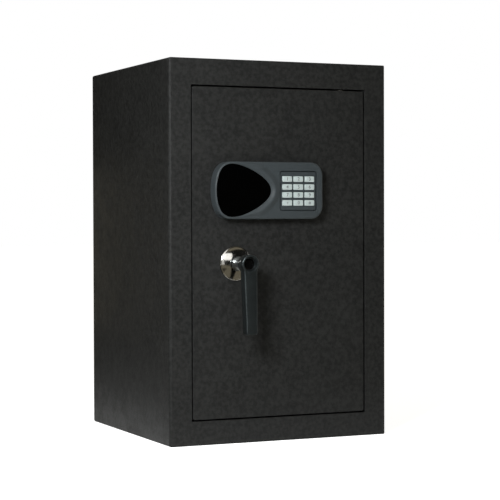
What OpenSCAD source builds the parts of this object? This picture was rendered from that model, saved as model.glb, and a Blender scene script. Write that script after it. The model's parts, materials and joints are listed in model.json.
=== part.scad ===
// In-room safe: a folded steel cabinet with an inset door on concealed pivots,
// an electronic lock panel, a lever handle that throws two bolts, and a lift-out shelf.
// Origin: centre of the floor anchor pattern, on the underside. +Z up, front towards -Y.

/* [Cabinet] */
// Outside width
body_w = 315; // [260:1:420]
// Outside height
body_h = 500; // [415:1:620]
// Outside depth
body_d = 300; // [250:1:400]
// Thickness of the cabinet's steel sheet
sheet_t = 2; // [1.5:0.1:3]
// Outside radius of the upright front bends
bend_r = 4; // [3.2:0.1:6]
// Outside radius of the level edges
edge_r = 3; // [3.1:0.1:5]

/* [Door frame] */
// Width of the frame beside the door
frame_side = 31; // [25:1:45]
// Width of the frame above the door
frame_top = 34; // [25:1:50]
// Width of the frame below the door
frame_bottom = 31; // [25:1:50]
// Thickness of the jamb strips behind the frame
jamb_t = 2.5; // [2:0.1:4]
// Depth of the jamb strips
jamb_depth = 30; // [26:1:34]

/* [Door] */
// Thickness of the door plate
door_t = 5; // [4:0.1:6]
// Gap all round the door plate
door_gap = 2; // [1.8:0.1:3]
// How far the door sits behind the frame's face
door_recess = 1; // [0.5:0.1:2]
// Corner radius of the door plate
door_corner_r = 2; // [1:0.1:5]

/* [Hinge] */
// Radius of the two pivot pins
pin_r = 3; // [2.5:0.1:3.6]
// Running clearance of a pin in its bush
pin_fit = 0.05; // [0.02:0.01:0.09]
// Wall of the hinge bushes
bush_wall = 1; // [0.8:0.1:1.5]
// Length of a pin below the jamb
pin_reach = 20; // [14:1:28]

/* [Bolts] */
// Radius of a locking bolt
bolt_r = 9; // [7:0.5:10]
// Travel of the locking bolts
bolt_throw = 20; // [14:1:22]
// Distance between the two bolts
bolt_spacing = 140; // [110:1:150]
// Radial clearance of a bolt in the stile
bolt_clear = 0.3; // [0.2:0.05:0.6]

/* [Handle] */
// Handle axis from the latch edge of the door
handle_inset = 60; // [56:1:80]
// Handle axis below the middle of the door
handle_drop = 13.5; // [0:0.5:30]
// Reach of the handle hub from the door's face
handle_reach = 50; // [42:1:60]
// Radius of the rosette
rosette_r = 22.5; // [18:0.5:27]
// Height of the rosette
rosette_h = 8.5; // [6:0.5:12]
// Radius of the handle's neck
neck_r = 9; // [7.5:0.1:10]
// Radius of the handle's hub
hub_r = 12; // [10.5:0.1:14]
// Length of the lever below the handle axis
lever_len = 90; // [70:1:110]
// Width of the lever at the hub
lever_w = 18.5; // [15:0.5:21]
// Width of the lever at its end
lever_end_w = 15; // [10:0.5:18]

/* [Lock panel] */
// Left edge of the panel from the latch edge of the door
panel_inset = 24.5; // [20:0.5:40]
// Middle of the panel above the middle of the door
panel_rise = 81.3; // [70:0.1:95]
// Length of the panel
panel_w = 155; // [149:0.5:170]
// Height of the panel
panel_h = 74.5; // [72:0.5:88]
// Depth of the panel, gasket included
panel_depth = 17; // [15:0.5:22]
// Radius of the panel's two right-hand corners
panel_r = 17; // [8:0.5:22]
// Length of the display lens
lens_w = 77; // [70:0.5:80]
// Height of the display lens
lens_h = 68.5; // [60:0.5:70]

/* [Keys] */
// Width of a key
key_w = 13.6; // [10:0.1:14.4]
// Height of a key
key_h = 7.4; // [6:0.1:8.4]
// Spacing of the key columns
key_pitch_x = 16.2; // [15.8:0.1:17.5]
// Spacing of the key rows
key_pitch_z = 10.4; // [10:0.1:11.2]
// Middle of the keypad from the panel's right end
keypad_inset = 36; // [34:0.5:40]
// Middle of the keypad below the middle of the panel
keypad_drop = 0.5; // [0:0.1:2]
// Travel of a key
key_travel = 1.2; // [0.8:0.1:1.4]

/* [Inside] */
// Depth of the inner cover behind the door plate
cover_depth = 38; // [36:0.5:44]
// Thickness of the inner cover's sheet
cover_t = 1.2; // [1:0.1:2]
// Height of the shelf's underside above the base
shelf_z = 246; // [150:1:320]
// Thickness of the shelf and its folded edges
shelf_t = 1.5; // [1.2:0.1:2.5]

/* [Anchor holes] */
// Radius of the anchor holes
anchor_r = 5.5; // [4:0.1:7]
// Spacing of the floor anchors across the cabinet
anchor_x = 200; // [140:1:210]
// Spacing of the floor anchors along its depth
anchor_y = 160; // [100:1:170]
// Spacing of the rear anchors
rear_x = 150; // [100:1:200]
// Height of the rear anchors above the base
rear_z = 400; // [300:1:410]

/* [Hidden] */
$fn = 64;

// Small clearance between pieces of different bodies
gap = 0.3;
// Overlap of a cutting tool past the face that it cuts
cut = 1;

// Cabinet faces
front_y = -body_d / 2;
back_y = body_d / 2;
frame_back_y = front_y + sheet_t;

// Door opening and door plate
open_w = body_w - 2 * frame_side;
open_z0 = frame_bottom;
open_z1 = body_h - frame_top;
door_w = open_w - 2 * door_gap;
door_z0 = open_z0 + door_gap;
door_z1 = open_z1 - door_gap;
door_mid_z = (door_z0 + door_z1) / 2;
door_x0 = -door_w / 2;
door_x1 = door_w / 2;
door_front = front_y + door_recess;
door_back = door_front + door_t;

// Pivot: far enough from the edge for the door's front corner to swing past the jamb
block_skin = 0.5;
hinge_y = door_back + block_skin + pin_r + bush_wall;
hinge_arm = hinge_y - door_front;
swing_gap = door_gap - 0.5;
hinge_inset = (hinge_arm * hinge_arm - swing_gap * swing_gap) / (2 * swing_gap) + 1;
hinge_x = door_x1 - hinge_inset;
block_w = 14;
block_h = pin_reach + 4;
flange_t = door_gap - gap;

// Handle and its drive
handle_x = door_x0 + handle_inset;
handle_z = door_mid_z - handle_drop;
hub_front = door_front - handle_reach;
spindle_r = 5;
spindle_fit = 0.05;
drive_sq = 7;
crank_angle = 45;
crank_r = bolt_throw / (2 * sin(crank_angle));
crank_pin_r = 3;
crank_slack = 0.55;
cap_r = 7.2;
cap_sink = 6.5;
mouth_r = 9.2;
cap_t = 2;
screw_head_r = 4.5;
screw_head_t = 3;
screw_r = 2.5;
screw_len = 14;
seat_y = hub_front + cap_sink + cap_t + screw_head_t;
neck_end = door_front - rosette_h + 2;
hub_t = 16;
lever_flare = 4;
lever_end_t = 14;
lever_root_t = 14;

// Bolts and their carriage
bolt_y = door_back + 14;
bolt_zs = [handle_z - bolt_spacing / 2, handle_z + bolt_spacing / 2];
stile_t = 3;
stile_foot = 14;
stile_lip_t = 2;
stile_x = door_x0 + 3.5;
web_t = 2.5;
web_y = door_back + 3.5;
strip_w = 16;
strip_x = handle_x - spindle_r - 2.5 - strip_w;
bolt_len = strip_x - stile_x;
stud_r = 4;
stud_len = 5;
arm_x1 = handle_x + 22.5;
arm_z0 = handle_z + spindle_r + 1.5;
arm_z1 = handle_z + crank_r + crank_pin_r + 10;
slot_x = handle_x + crank_r * sin(crank_angle);
cam_y0 = web_y + web_t + 1;
cam_y1 = cam_y0 + 4;
clip_t = 1.2;
clip_bore_r = 3;

// Solenoid, above the carriage's arm
sol_x = handle_x + 6.5;
sol_y = bolt_y;
sol_w = 24;
sol_h = 32;
sol_plate = 2;
lug_h = 6;
lug_w = 10;
plunger_r = 4;
plunger_travel = lug_h;
collar_t = 1;
collar_z = arm_z1 + lug_h + plunger_travel + 0.5;
spring_room = 8.5;
sol_z0 = collar_z + collar_t + spring_room;

// Inner cover
cover_x0 = stile_x + stile_t;
cover_x1 = hinge_x - block_w / 2 - 3;
cover_margin = 37;
cover_z0 = door_z0 + cover_margin;
cover_z1 = door_z1 - cover_margin;
cover_back = door_back + cover_depth;
cover_screw_r = 2;
cover_screw_x = cover_x0 + 5;
cover_screw_zs = [cover_z0 + 24, (cover_z0 + cover_z1) / 2, cover_z1 - 24];

// Batteries, held in the lower part of the cover
cell_r = 7.1;
cell_len = 50;
cell_pitch = 15;
cell_count = 4;
box_w = 66;
box_h = cell_count * cell_pitch + 6;
box_depth = 18;
box_wall = 1.5;
box_x = cover_x1 - 14 - box_w / 2;
box_z = cover_z0 + 16 + box_h / 2;
cell_y = cover_back - box_depth + box_wall + cell_r + 0.2;
battery_cover_t = 2.4;
battery_cover_lap = 4;

// Reset button, high in the cover
reset_x = cover_x1 - 22;
reset_z = cover_z1 - 40;
reset_r = 4;
reset_proud = 2.5;

// Lock panel
panel_x0 = door_x0 + panel_inset;
panel_x1 = panel_x0 + panel_w;
panel_z = door_mid_z + panel_rise;
panel_front = door_front - panel_depth;
gasket_t = 0.8;
face_t = 5;
face_inner = panel_front + face_t;
panel_wall = 2.2;
bevel = 2;
lens_t = 3;
lens_margin = 2.2;
lens_lean = 0.055;
lens_peak = 1.023;
lens_shoulder = 0.16;
lens_x = panel_x0 + lens_margin + lens_w / 2 - lens_w * lens_lean;
display_x0 = lens_x + 2;
display_x1 = lens_x + 28;
display_h = 16;
keypad_x = panel_x1 - keypad_inset;
keypad_z = panel_z - keypad_drop;
key_proud = 0.6;
key_flange = 1.2;
key_flange_t = 1.2;
pad_recess = 1.2;
pad_margin_x = 4;
pad_margin_z = 7;
pad_r = 3;
pad_w = 2 * key_pitch_x + key_w + 2 * pad_margin_x;
pad_h = 3 * key_pitch_z + key_h + 2 * pad_margin_z;
membrane_t = 1;
membrane_y = face_inner + gap + key_flange_t + key_travel + gap;
board_t = 1.6;
board_y = membrane_y + membrane_t;
board_h = 43;
boss_r = 4;
boss_screw_r = 2;
boss_z = panel_h / 2 - 8.5;
boss_xs = [keypad_x - key_pitch_x - 30.5, panel_x1 - 14];
over_x = panel_x0 + 26;
over_z = panel_z + 2.7;
over_r = 8.5;
plug_r = 6;
plug_fit = 0.05;
over_end = door_back + 22;
cable_x = keypad_x - 14;
cable_r = 4;
grommet_r = 7;

// Route of the wiring: out of the board, through the grommet, then down to the battery box
wire_r = 1.6;
wire_points = [
    [cable_x, board_y + board_t, panel_z],
    [cable_x, door_front, panel_z],
    [cable_x, door_back + 4, panel_z],
    [cable_x + 0.5, door_back + 8, panel_z - 1],
    [cable_x + 2, door_back + 11, panel_z - 5],
    [cable_x + 4, door_back + 12, panel_z - 12],
    [cable_x + 6, door_back + 12, panel_z - 40],
    [cable_x + 6, door_back + 12, handle_z],
    [box_x, door_back + 12, box_z + box_h / 2 + 30],
    [box_x, door_back + 13, box_z + box_h / 2 + 12],
    [box_x, cover_back - box_depth - 4, box_z + box_h / 2 - 9],
    [box_x, cover_back - box_depth - 3, box_z + box_h / 2 - 10],
    [box_x, cover_back - box_depth, box_z + box_h / 2 - 10],
];

// Shelf
inner_x = body_w / 2 - sheet_t;
shelf_w = 2 * inner_x - 5;
shelf_y0 = cover_back + 14;
shelf_y1 = back_y - sheet_t - 6;
shelf_lip = 12;
bracket_t = 2;
bracket_reach = 14;
bracket_w = 24;
mat_t = 2;
floor_mat_t = 3;

// Colours
black_steel = [0.13, 0.13, 0.13];
grey_steel = [0.55, 0.56, 0.57];
bright_steel = [0.82, 0.83, 0.84];
panel_grey = [0.17, 0.19, 0.2];
key_grey = [0.8, 0.84, 0.84];
brass = [0.78, 0.62, 0.32];
copper = [0.7, 0.4, 0.25];
felt_grey = [0.2, 0.2, 0.22];
board_green = [0.1, 0.35, 0.18];
rubber_black = [0.06, 0.06, 0.06];
signal_red = [0.7, 0.12, 0.1];

// Outline of the display lens: a rounded triangle with its point to the right.
// lens_lean is the share of its length by which it leans towards the point, lens_peak the
// height of the unscaled curve, and lens_shoulder where that height is reached.
function lens_outline(w, h, n = 96) = [
    for (i = [0:n - 1])
        let (a = 360 * i / n, k = 2 * lens_lean)
            [w / 2 * (cos(a) + k * cos(2 * a)), h / 2 / lens_peak * (sin(a) - k * sin(2 * a))]
];

// Rectangle from two corners, for plates drawn in elevation
module rect(x0, z0, x1, z1) {
    translate([x0, z0]) square([x1 - x0, z1 - z0]);
}

// Rounded rectangle about its middle
module round_rect(w, h, r) {
    square([w - 2 * r, h], center = true);
    square([w, h - 2 * r], center = true);
    for (x = [-1, 1], z = [-1, 1])
        translate([x * (w / 2 - r), z * (h / 2 - r)]) circle(r);
}

// Extrudes an elevation (x across, z up) along Y, from y0 to y1
module slab(y0, y1) {
    translate([0, y1, 0]) rotate([90, 0, 0]) linear_extrude(y1 - y0) children();
}

// Extrudes a side profile (y across, z up) along X, from x0 to x1
module side_slab(x0, x1) {
    translate([x0, 0, 0]) rotate([90, 0, 90]) linear_extrude(x1 - x0) children();
}

// Round bar along Y, from y0 to y1
module rod_y(r, x, z, y0, y1) {
    translate([x, y1, z]) rotate([90, 0, 0]) cylinder(r = r, h = y1 - y0);
}

// Round bar along X, from x0 to x1
module rod_x(r, y, z, x0, x1) {
    translate([x0, y, z]) rotate([0, 90, 0]) cylinder(r = r, h = x1 - x0);
}

// Box from two corners
module box(a, b) {
    translate(a) cube(b - a);
}

// Ring of points of a tube's cross-section, square to the direction d
function ring_at(p, d, r, n) =
    let (u = abs(d[2]) > 0.9 ? [1, 0, 0] : [0, 0, 1],
         a = cross(d, u) / norm(cross(d, u)),
         b = cross(d, a) / norm(d))
    [for (i = [0:n - 1]) p + r * (cos(360 * i / n) * a + sin(360 * i / n) * b)];

// Tube swept through a list of points
module tube_path(points, r, n = 8) {
    last = len(points) - 1;
    rings = [
        for (i = [0:last])
            let (d = points[min(i + 1, last)] - points[max(i - 1, 0)])
                ring_at(points[i], d / norm(d), r, n)
    ];
    sides = [
        for (i = [0:last - 1], j = [0:n - 1])
            let (k = (j + 1) % n)
                [i * n + j, i * n + k, (i + 1) * n + k, (i + 1) * n + j]
    ];
    ends = [[for (j = [n - 1:-1:0]) j], [for (j = [0:n - 1]) last * n + j]];
    polyhedron([for (q = rings) each q], concat(sides, ends), convexity = 4);
}

// ---- Cabinet ----

// Solid of the cabinet, shrunk by g all round, with its front edges bent and its back at y1
module cabinet_solid(g, y1) {
    intersection() {
        slab(front_y + g, y1)
            translate([0, body_h / 2]) round_rect(body_w - 2 * g, body_h - 2 * g, edge_r - g);
        translate([0, 0, g - cut]) linear_extrude(body_h - 2 * g + 2 * cut) {
            square_front(body_w - 2 * g, front_y + g, y1, bend_r - g);
        }
    }
}

// Plan of the cabinet: square at the back, rounded at the two front corners
module square_front(w, y0, y1, r) {
    rect(-w / 2, y0 + r, w / 2, y1);
    rect(-w / 2 + r, y0, w / 2 - r, y1);
    for (x = [-1, 1]) translate([x * (w / 2 - r), y0 + r]) circle(r);
}

module floor_anchor_tools(r, z0, z1) {
    for (x = [-1, 1], y = [-1, 1])
        translate([x * anchor_x / 2, y * anchor_y / 2, z0]) cylinder(r = r, h = z1 - z0);
}

module body_shell() {
    color(black_steel) difference() {
        cabinet_solid(0, back_y);
        cabinet_solid(sheet_t, back_y + cut);
        slab(front_y - cut, frame_back_y + cut) rect(-open_w / 2, open_z0, open_w / 2, open_z1);
        floor_anchor_tools(anchor_r, -cut, sheet_t + cut);
    }
}

module back_panel() {
    inner_h = body_h - 2 * sheet_t;
    color(black_steel) difference() {
        slab(back_y - sheet_t, back_y) translate([0, body_h / 2])
            round_rect(2 * inner_x, inner_h, edge_r - sheet_t);
        for (x = [-1, 1])
            rod_y(anchor_r, x * rear_x / 2, rear_z, back_y - sheet_t - cut, back_y + cut);
    }
}

// One upright jamb strip: side is -1 at the latch and 1 at the hinge
module jamb_upright(side) {
    x0 = side > 0 ? open_w / 2 : -open_w / 2 - jamb_t;
    box([x0, frame_back_y, open_z0 - jamb_t], [x0 + jamb_t, frame_back_y + jamb_depth, open_z1 + jamb_t]);
}

module jamb_latch() {
    color(black_steel) difference() {
        jamb_upright(-1);
        for (z = bolt_zs)
            rod_x(bolt_r + 1, bolt_y, z, -open_w / 2 - jamb_t - cut, -open_w / 2 + cut);
    }
}

module jamb_hinge() {
    color(black_steel) jamb_upright(1);
}

// Level jamb strip from z0 up, drilled for its pivot pin
module jamb_level(z0) {
    difference() {
        box([-open_w / 2, frame_back_y, z0], [open_w / 2, frame_back_y + jamb_depth, z0 + jamb_t]);
        translate([hinge_x, hinge_y, z0 - cut]) cylinder(r = pin_r, h = jamb_t + 2 * cut);
    }
}

module jamb_head() {
    color(black_steel) jamb_level(open_z1);
}

module jamb_sill() {
    color(black_steel) jamb_level(open_z0 - jamb_t);
}

// Pivot pin with a head beyond the jamb; up is 1 at the head and -1 at the sill
module hinge_pin(up) {
    head_r = pin_r + 2;
    head_t = 2;
    jamb_z = up > 0 ? open_z1 : open_z0;
    translate([hinge_x, hinge_y, jamb_z]) mirror([0, 0, up > 0 ? 0 : 1]) {
        translate([0, 0, -pin_reach]) cylinder(r = pin_r, h = pin_reach + jamb_t);
        translate([0, 0, jamb_t]) cylinder(r = head_r, h = head_t);
    }
}

module hinge_pins() {
    color(bright_steel) {
        hinge_pin(1);
        hinge_pin(-1);
    }
}

// Angle under the shelf, against a side wall
module shelf_bracket(side, y) {
    leg_h = 22;
    translate([side * inner_x, y - bracket_w / 2, shelf_z]) mirror([side > 0 ? 1 : 0, 0, 0]) {
        translate([0, 0, -leg_h]) cube([bracket_t, bracket_w, leg_h]);
        translate([0, 0, -bracket_t]) cube([bracket_reach, bracket_w, bracket_t]);
    }
}

module shelf_brackets() {
    color(black_steel)
        for (side = [-1, 1], y = [shelf_y0 + bracket_w, shelf_y1 - bracket_w]) shelf_bracket(side, y);
}

module floor_mat() {
    mat_y0 = frame_back_y + jamb_depth + 2;
    mat_y1 = back_y - sheet_t - 2;
    mat_w = 2 * inner_x - 4;
    color(felt_grey) difference() {
        box([-mat_w / 2, mat_y0, sheet_t], [mat_w / 2, mat_y1, sheet_t + floor_mat_t]);
        floor_anchor_tools(anchor_r + 3, sheet_t - cut, sheet_t + floor_mat_t + cut);
    }
}

// ---- Shelf ----

module shelf_panel() {
    color(black_steel) {
        box([-shelf_w / 2, shelf_y0, shelf_z], [shelf_w / 2, shelf_y1, shelf_z + shelf_t]);
        box([-shelf_w / 2, shelf_y0, shelf_z], [shelf_w / 2, shelf_y0 + shelf_t, shelf_z + shelf_lip]);
        box([-shelf_w / 2, shelf_y1 - shelf_t, shelf_z], [shelf_w / 2, shelf_y1, shelf_z + shelf_lip]);
    }
}

module shelf_mat() {
    edge = 1;
    color(felt_grey) box(
        [-shelf_w / 2 + edge, shelf_y0 + shelf_t, shelf_z + shelf_t],
        [shelf_w / 2 - edge, shelf_y1 - shelf_t, shelf_z + shelf_t + mat_t]);
}

// ---- Door ----

module door_plate() {
    color(black_steel) difference() {
        slab(door_front, door_back) translate([0, door_mid_z])
            round_rect(door_w, door_z1 - door_z0, door_corner_r);
        rod_y(spindle_r + 3, handle_x, handle_z, door_front - cut, door_back + cut);
        rod_y(over_r, over_x, over_z, door_front - cut, door_back + cut);
        rod_y(grommet_r, cable_x, panel_z, door_front - cut, door_back + cut);
        for (x = boss_xs, z = [-1, 1])
            rod_y(boss_screw_r, x, panel_z + z * boss_z, door_front - cut, door_back + cut);
    }
}

// Upright channel that guides the bolts, closes the latch side of the cover and takes its screws
module bolt_stile() {
    back = cover_back - cover_t;
    color(grey_steel) difference() {
        union() {
            box([stile_x, door_back, cover_z0], [cover_x0, back, cover_z1]);
            for (y = [door_back, back - stile_lip_t])
                box([stile_x, y, cover_z0 + cover_t],
                    [stile_x + stile_foot, y + stile_lip_t, cover_z1 - cover_t]);
        }
        for (z = bolt_zs)
            rod_x(bolt_r + bolt_clear, bolt_y, z, stile_x - cut, stile_x + stile_t + cut);
        for (z = cover_screw_zs)
            rod_y(cover_screw_r, cover_screw_x, z, back - stile_lip_t - cut, back + cut);
    }
}

// Block behind the door plate that holds a hinge bush; up is 1 at the top
module hinge_block(up) {
    z0 = up > 0 ? door_z1 - block_h : door_z0;
    depth = 2 * (pin_r + bush_wall) + block_skin + 4;
    difference() {
        box([hinge_x - block_w / 2, door_back, z0], [hinge_x + block_w / 2, door_back + depth, z0 + block_h]);
        translate([hinge_x, hinge_y, z0 - cut]) cylinder(r = pin_r + bush_wall, h = block_h + 2 * cut);
    }
}

module hinge_blocks() {
    color(grey_steel) {
        hinge_block(1);
        hinge_block(-1);
    }
}

// Flanged bush of a hinge block; the flange faces the jamb
module hinge_bush(up) {
    flange_r = pin_r + bush_wall + 2;
    edge_z = up > 0 ? door_z1 : door_z0;
    translate([hinge_x, hinge_y, edge_z]) mirror([0, 0, up > 0 ? 0 : 1]) difference() {
        union() {
            translate([0, 0, -block_h]) cylinder(r = pin_r + bush_wall, h = block_h);
            cylinder(r = flange_r, h = flange_t);
        }
        translate([0, 0, -block_h - cut])
            cylinder(r = pin_r + pin_fit, h = block_h + flange_t + 2 * cut);
    }
}

module hinge_bushes() {
    color(brass) {
        hinge_bush(1);
        hinge_bush(-1);
    }
}

module inner_cover() {
    reset_hole_r = 4.5;
    color(black_steel) difference() {
        box([cover_x0, door_back, cover_z0], [cover_x1, cover_back, cover_z1]);
        box([cover_x0 - cut, door_back - cut, cover_z0 + cover_t],
            [cover_x1 - cover_t, cover_back - cover_t, cover_z1 - cover_t]);
        box([box_x - box_w / 2, cover_back - cover_t - cut, box_z - box_h / 2],
            [box_x + box_w / 2, cover_back + cut, box_z + box_h / 2]);
        rod_y(reset_hole_r, reset_x, reset_z, cover_back - cover_t - cut, cover_back + cut);
        for (z = cover_screw_zs)
            rod_y(cover_screw_r, cover_screw_x, z, cover_back - cover_t - cut, cover_back + cut);
    }
}

// Screws through the cover into the stile's rear lip
module cover_screws() {
    head_r = 3.5;
    head_t = 1.6;
    color(bright_steel) for (z = cover_screw_zs) {
        rod_y(cover_screw_r, cover_screw_x, z, cover_back - 6, cover_back);
        rod_y(head_r, cover_screw_x, z, cover_back, cover_back + head_t);
    }
}

// ---- Lock panel ----

// Outline of the panel: the lens end follows the lens, the keypad end has round corners
module panel_outline(inset = 0) {
    r = panel_r - inset;
    x1 = panel_x1 - inset;
    half = panel_h / 2 - inset;
    end_w = lens_w + 2 * lens_margin - 2 * inset;
    translate([lens_x, panel_z]) polygon(lens_outline(end_w, 2 * half));
    translate([0, panel_z]) {
        rect(lens_x - lens_w * lens_shoulder, -half, x1 - r, half);
        rect(lens_x, -half + r, x1, half - r);
        for (z = [-1, 1]) translate([x1 - r, z * (half - r)]) circle(r);
    }
}

module key_windows() {
    for (i = [0:2], j = [0:3])
        translate([keypad_x + (i - 1) * key_pitch_x, keypad_z + (1.5 - j) * key_pitch_z])
            square([key_w + 2 * gap, key_h + 2 * gap], center = true);
}

module lock_housing() {
    base_y = door_front - gasket_t;
    recess_y = panel_front + lens_t + gap;
    color(panel_grey) difference() {
        union() {
            difference() {
                union() {
                    slab(panel_front + bevel, base_y) panel_outline();
                    slab(panel_front, panel_front + bevel) panel_outline(bevel);
                }
                slab(face_inner, base_y + cut) panel_outline(panel_wall);
            }
            for (x = boss_xs, z = [-1, 1])
                rod_y(boss_r, x, panel_z + z * boss_z, face_inner - 1, base_y);
        }
        slab(panel_front - cut, recess_y) translate([lens_x, panel_z])
            polygon(lens_outline(lens_w + 2 * gap, lens_h + 2 * gap));
        slab(panel_front - cut, panel_front + pad_recess) translate([keypad_x, keypad_z])
            round_rect(pad_w, pad_h, pad_r);
        slab(panel_front, face_inner + cut) key_windows();
        rod_y(over_r + gap, over_x, over_z, recess_y - cut, face_inner + cut);
        slab(recess_y - cut, face_inner + cut)
            rect(display_x0 - 1, panel_z - display_h / 2 - 1, display_x1 + 1, panel_z + display_h / 2 + 1);
        for (x = boss_xs, z = [-1, 1])
            rod_y(boss_screw_r - 0.4, x, panel_z + z * boss_z, face_inner, base_y + cut);
    }
}

module housing_gasket() {
    color(rubber_black) difference() {
        slab(door_front - gasket_t, door_front) panel_outline(0.6);
        slab(door_front - gasket_t - cut, door_front + cut) panel_outline(4);
    }
}

module display_lens() {
    color(rubber_black) slab(panel_front - gap, panel_front + lens_t - gap)
        translate([lens_x, panel_z]) polygon(lens_outline(lens_w, lens_h));
}

module display_module() {
    y0 = panel_front + lens_t + 1;
    color(rubber_black) box(
        [display_x0, y0, panel_z - display_h / 2],
        [display_x1, board_y, panel_z + display_h / 2]);
}

module keypad_membrane() {
    color(felt_grey) slab(membrane_y, membrane_y + membrane_t) translate([keypad_x, keypad_z])
        round_rect(2 * key_pitch_x + key_w + 4, 3 * key_pitch_z + key_h + 2, 2);
}

// Board behind the keys, with three chips on its back
module lock_board() {
    chip = 8;
    chip_t = 1.6;
    chip_pitch = 14;
    chip_x = keypad_x - 44;
    chip_z = panel_z - 18;
    color(board_green) {
        box([over_x + over_r + 4, board_y, panel_z - board_h / 2],
            [panel_x1 - 6, board_y + board_t, panel_z + board_h / 2]);
        for (i = [0:2])
            translate([chip_x + chip_pitch * i, board_y + board_t, chip_z]) cube([chip, chip_t, chip]);
    }
}

// Screws from behind the door plate into the panel's bosses
module housing_screws() {
    head_r = 3.6;
    head_t = 2.2;
    color(bright_steel) for (x = boss_xs, z = [-1, 1]) {
        rod_y(boss_screw_r - 0.4, x, panel_z + z * boss_z, door_front - 9, door_back);
        rod_y(head_r, x, panel_z + z * boss_z, door_back, door_back + head_t);
    }
}

// One key cap with its retaining flange; column 0 to 2, row 0 at the top
module keypad_key(column, row) {
    x = keypad_x + (column - 1) * key_pitch_x;
    z = keypad_z + (1.5 - row) * key_pitch_z;
    flange_y = face_inner + gap;
    color(key_grey) translate([x, 0, z]) {
        slab(panel_front - key_proud, flange_y) round_rect(key_w, key_h, 1.2);
        slab(flange_y, flange_y + key_flange_t)
            square([key_w + key_flange, key_h + key_flange], center = true);
    }
}

// ---- Override lock, behind the lens ----

module override_cylinder() {
    color(bright_steel) difference() {
        union() {
            rod_y(over_r, over_x, over_z, panel_front + lens_t + gap, over_end);
            rod_y(over_r + 1.5, over_x, over_z, face_inner, door_front);
        }
        rod_y(plug_r + plug_fit, over_x, over_z, panel_front, over_end + cut);
    }
}

module override_nut() {
    nut_r = over_r + 3;
    nut_t = 4;
    color(brass) difference() {
        translate([over_x, door_back + nut_t, over_z]) rotate([90, 0, 0])
            cylinder(r = nut_r, h = nut_t, $fn = 6);
        rod_y(over_r, over_x, over_z, door_back - cut, door_back + nut_t + cut);
    }
}

module override_plug() {
    plug_front = panel_front + lens_t + gap;
    slot_w = 1.8;
    slot_h = 8;
    cam_w = 8;
    cam_len = 15;
    cam_t = 2;
    color(brass) difference() {
        union() {
            rod_y(plug_r, over_x, over_z, plug_front, over_end + gap);
            slab(over_end + gap, over_end + gap + cam_t) {
                translate([over_x, over_z]) circle(plug_r);
                rect(over_x - cam_w / 2, over_z, over_x + cam_w / 2, over_z + cam_len);
            }
        }
        box([over_x - slot_w / 2, plug_front - cut, over_z - slot_h / 2],
            [over_x + slot_w / 2, over_end - 4, over_z + slot_h / 2]);
    }
}

// ---- Power, reset and wiring ----

// Height of a cell's axis
function cell_z(i) = box_z + (i - (cell_count - 1) / 2) * cell_pitch;

module battery_box() {
    y1 = cover_back;
    y0 = y1 - box_depth;
    color(rubber_black) difference() {
        box([box_x - box_w / 2, y0, box_z - box_h / 2], [box_x + box_w / 2, y1, box_z + box_h / 2]);
        box([box_x - box_w / 2 + box_wall, y0 + box_wall, box_z - box_h / 2 + box_wall],
            [box_x + box_w / 2 - box_wall, y1 + cut, box_z + box_h / 2 - box_wall]);
    }
}

module battery_cells() {
    nub_r = 2.7;
    nub_len = 1.2;
    color(copper) for (i = [0:cell_count - 1]) {
        flip = i % 2;
        translate([box_x, 0, 0]) mirror([flip, 0, 0]) {
            rod_x(cell_r, cell_y, cell_z(i), -cell_len / 2, cell_len / 2 - nub_len);
            rod_x(nub_r, cell_y, cell_z(i), cell_len / 2 - nub_len, cell_len / 2);
        }
    }
}

// Plate at the nub of each cell and a conical spring, drawn as stepped rings, at its other end
module battery_contacts() {
    plate_t = 0.5;
    room = box_w / 2 - box_wall;
    spring_len = room - plate_t - cell_len / 2 - 0.2;
    color(bright_steel) for (i = [0:cell_count - 1]) {
        flip = i % 2;
        translate([box_x, 0, 0]) mirror([flip, 0, 0]) {
            box([room - plate_t, cell_y - 5, cell_z(i) - 5], [room, cell_y + 5, cell_z(i) + 5]);
            rod_x(2.2, cell_y, cell_z(i), cell_len / 2, room - plate_t);
            box([-room, cell_y - 5, cell_z(i) - 5], [-room + plate_t, cell_y + 5, cell_z(i) + 5]);
            rod_x(5, cell_y, cell_z(i), -room + plate_t, -room + plate_t + spring_len / 2);
            rod_x(3.4, cell_y, cell_z(i), -room + plate_t + spring_len / 2, -cell_len / 2);
        }
    }
}

module battery_cover() {
    y0 = cover_back + gap;
    y1 = y0 + battery_cover_t;
    half_w = box_w / 2 + battery_cover_lap;
    half_h = box_h / 2 + battery_cover_lap;
    rib_count = 5;
    rib_pitch = 4;
    rib_w = 1.4;
    rib_t = 1;
    rib_h = 24;
    rib_x = box_x - 26;
    color(rubber_black) {
        box([box_x - half_w, y0, box_z - half_h], [box_x + half_w, y1, box_z + half_h]);
        for (i = [0:rib_count - 1])
            translate([rib_x + i * rib_pitch, y1, box_z - rib_h / 2]) cube([rib_w, rib_t, rib_h]);
    }
}

module reset_button() {
    flange_y = cover_back - cover_t - gap;
    rim = 2;
    rim_t = 1.5;
    color(signal_red) {
        rod_y(reset_r, reset_x, reset_z, flange_y, cover_back + reset_proud);
        rod_y(reset_r + rim, reset_x, reset_z, flange_y - rim_t, flange_y);
    }
}

module cable_grommet() {
    lip = 2;
    lip_t = 1.2;
    color(rubber_black) difference() {
        union() {
            rod_y(grommet_r, cable_x, panel_z, door_front, door_back);
            rod_y(grommet_r + lip, cable_x, panel_z, door_back, door_back + lip_t);
        }
        rod_y(cable_r, cable_x, panel_z, door_front - cut, door_back + lip_t + cut);
    }
}

module lock_harness() {
    color(signal_red) tube_path(wire_points, wire_r);
}

// ---- Solenoid ----

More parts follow.
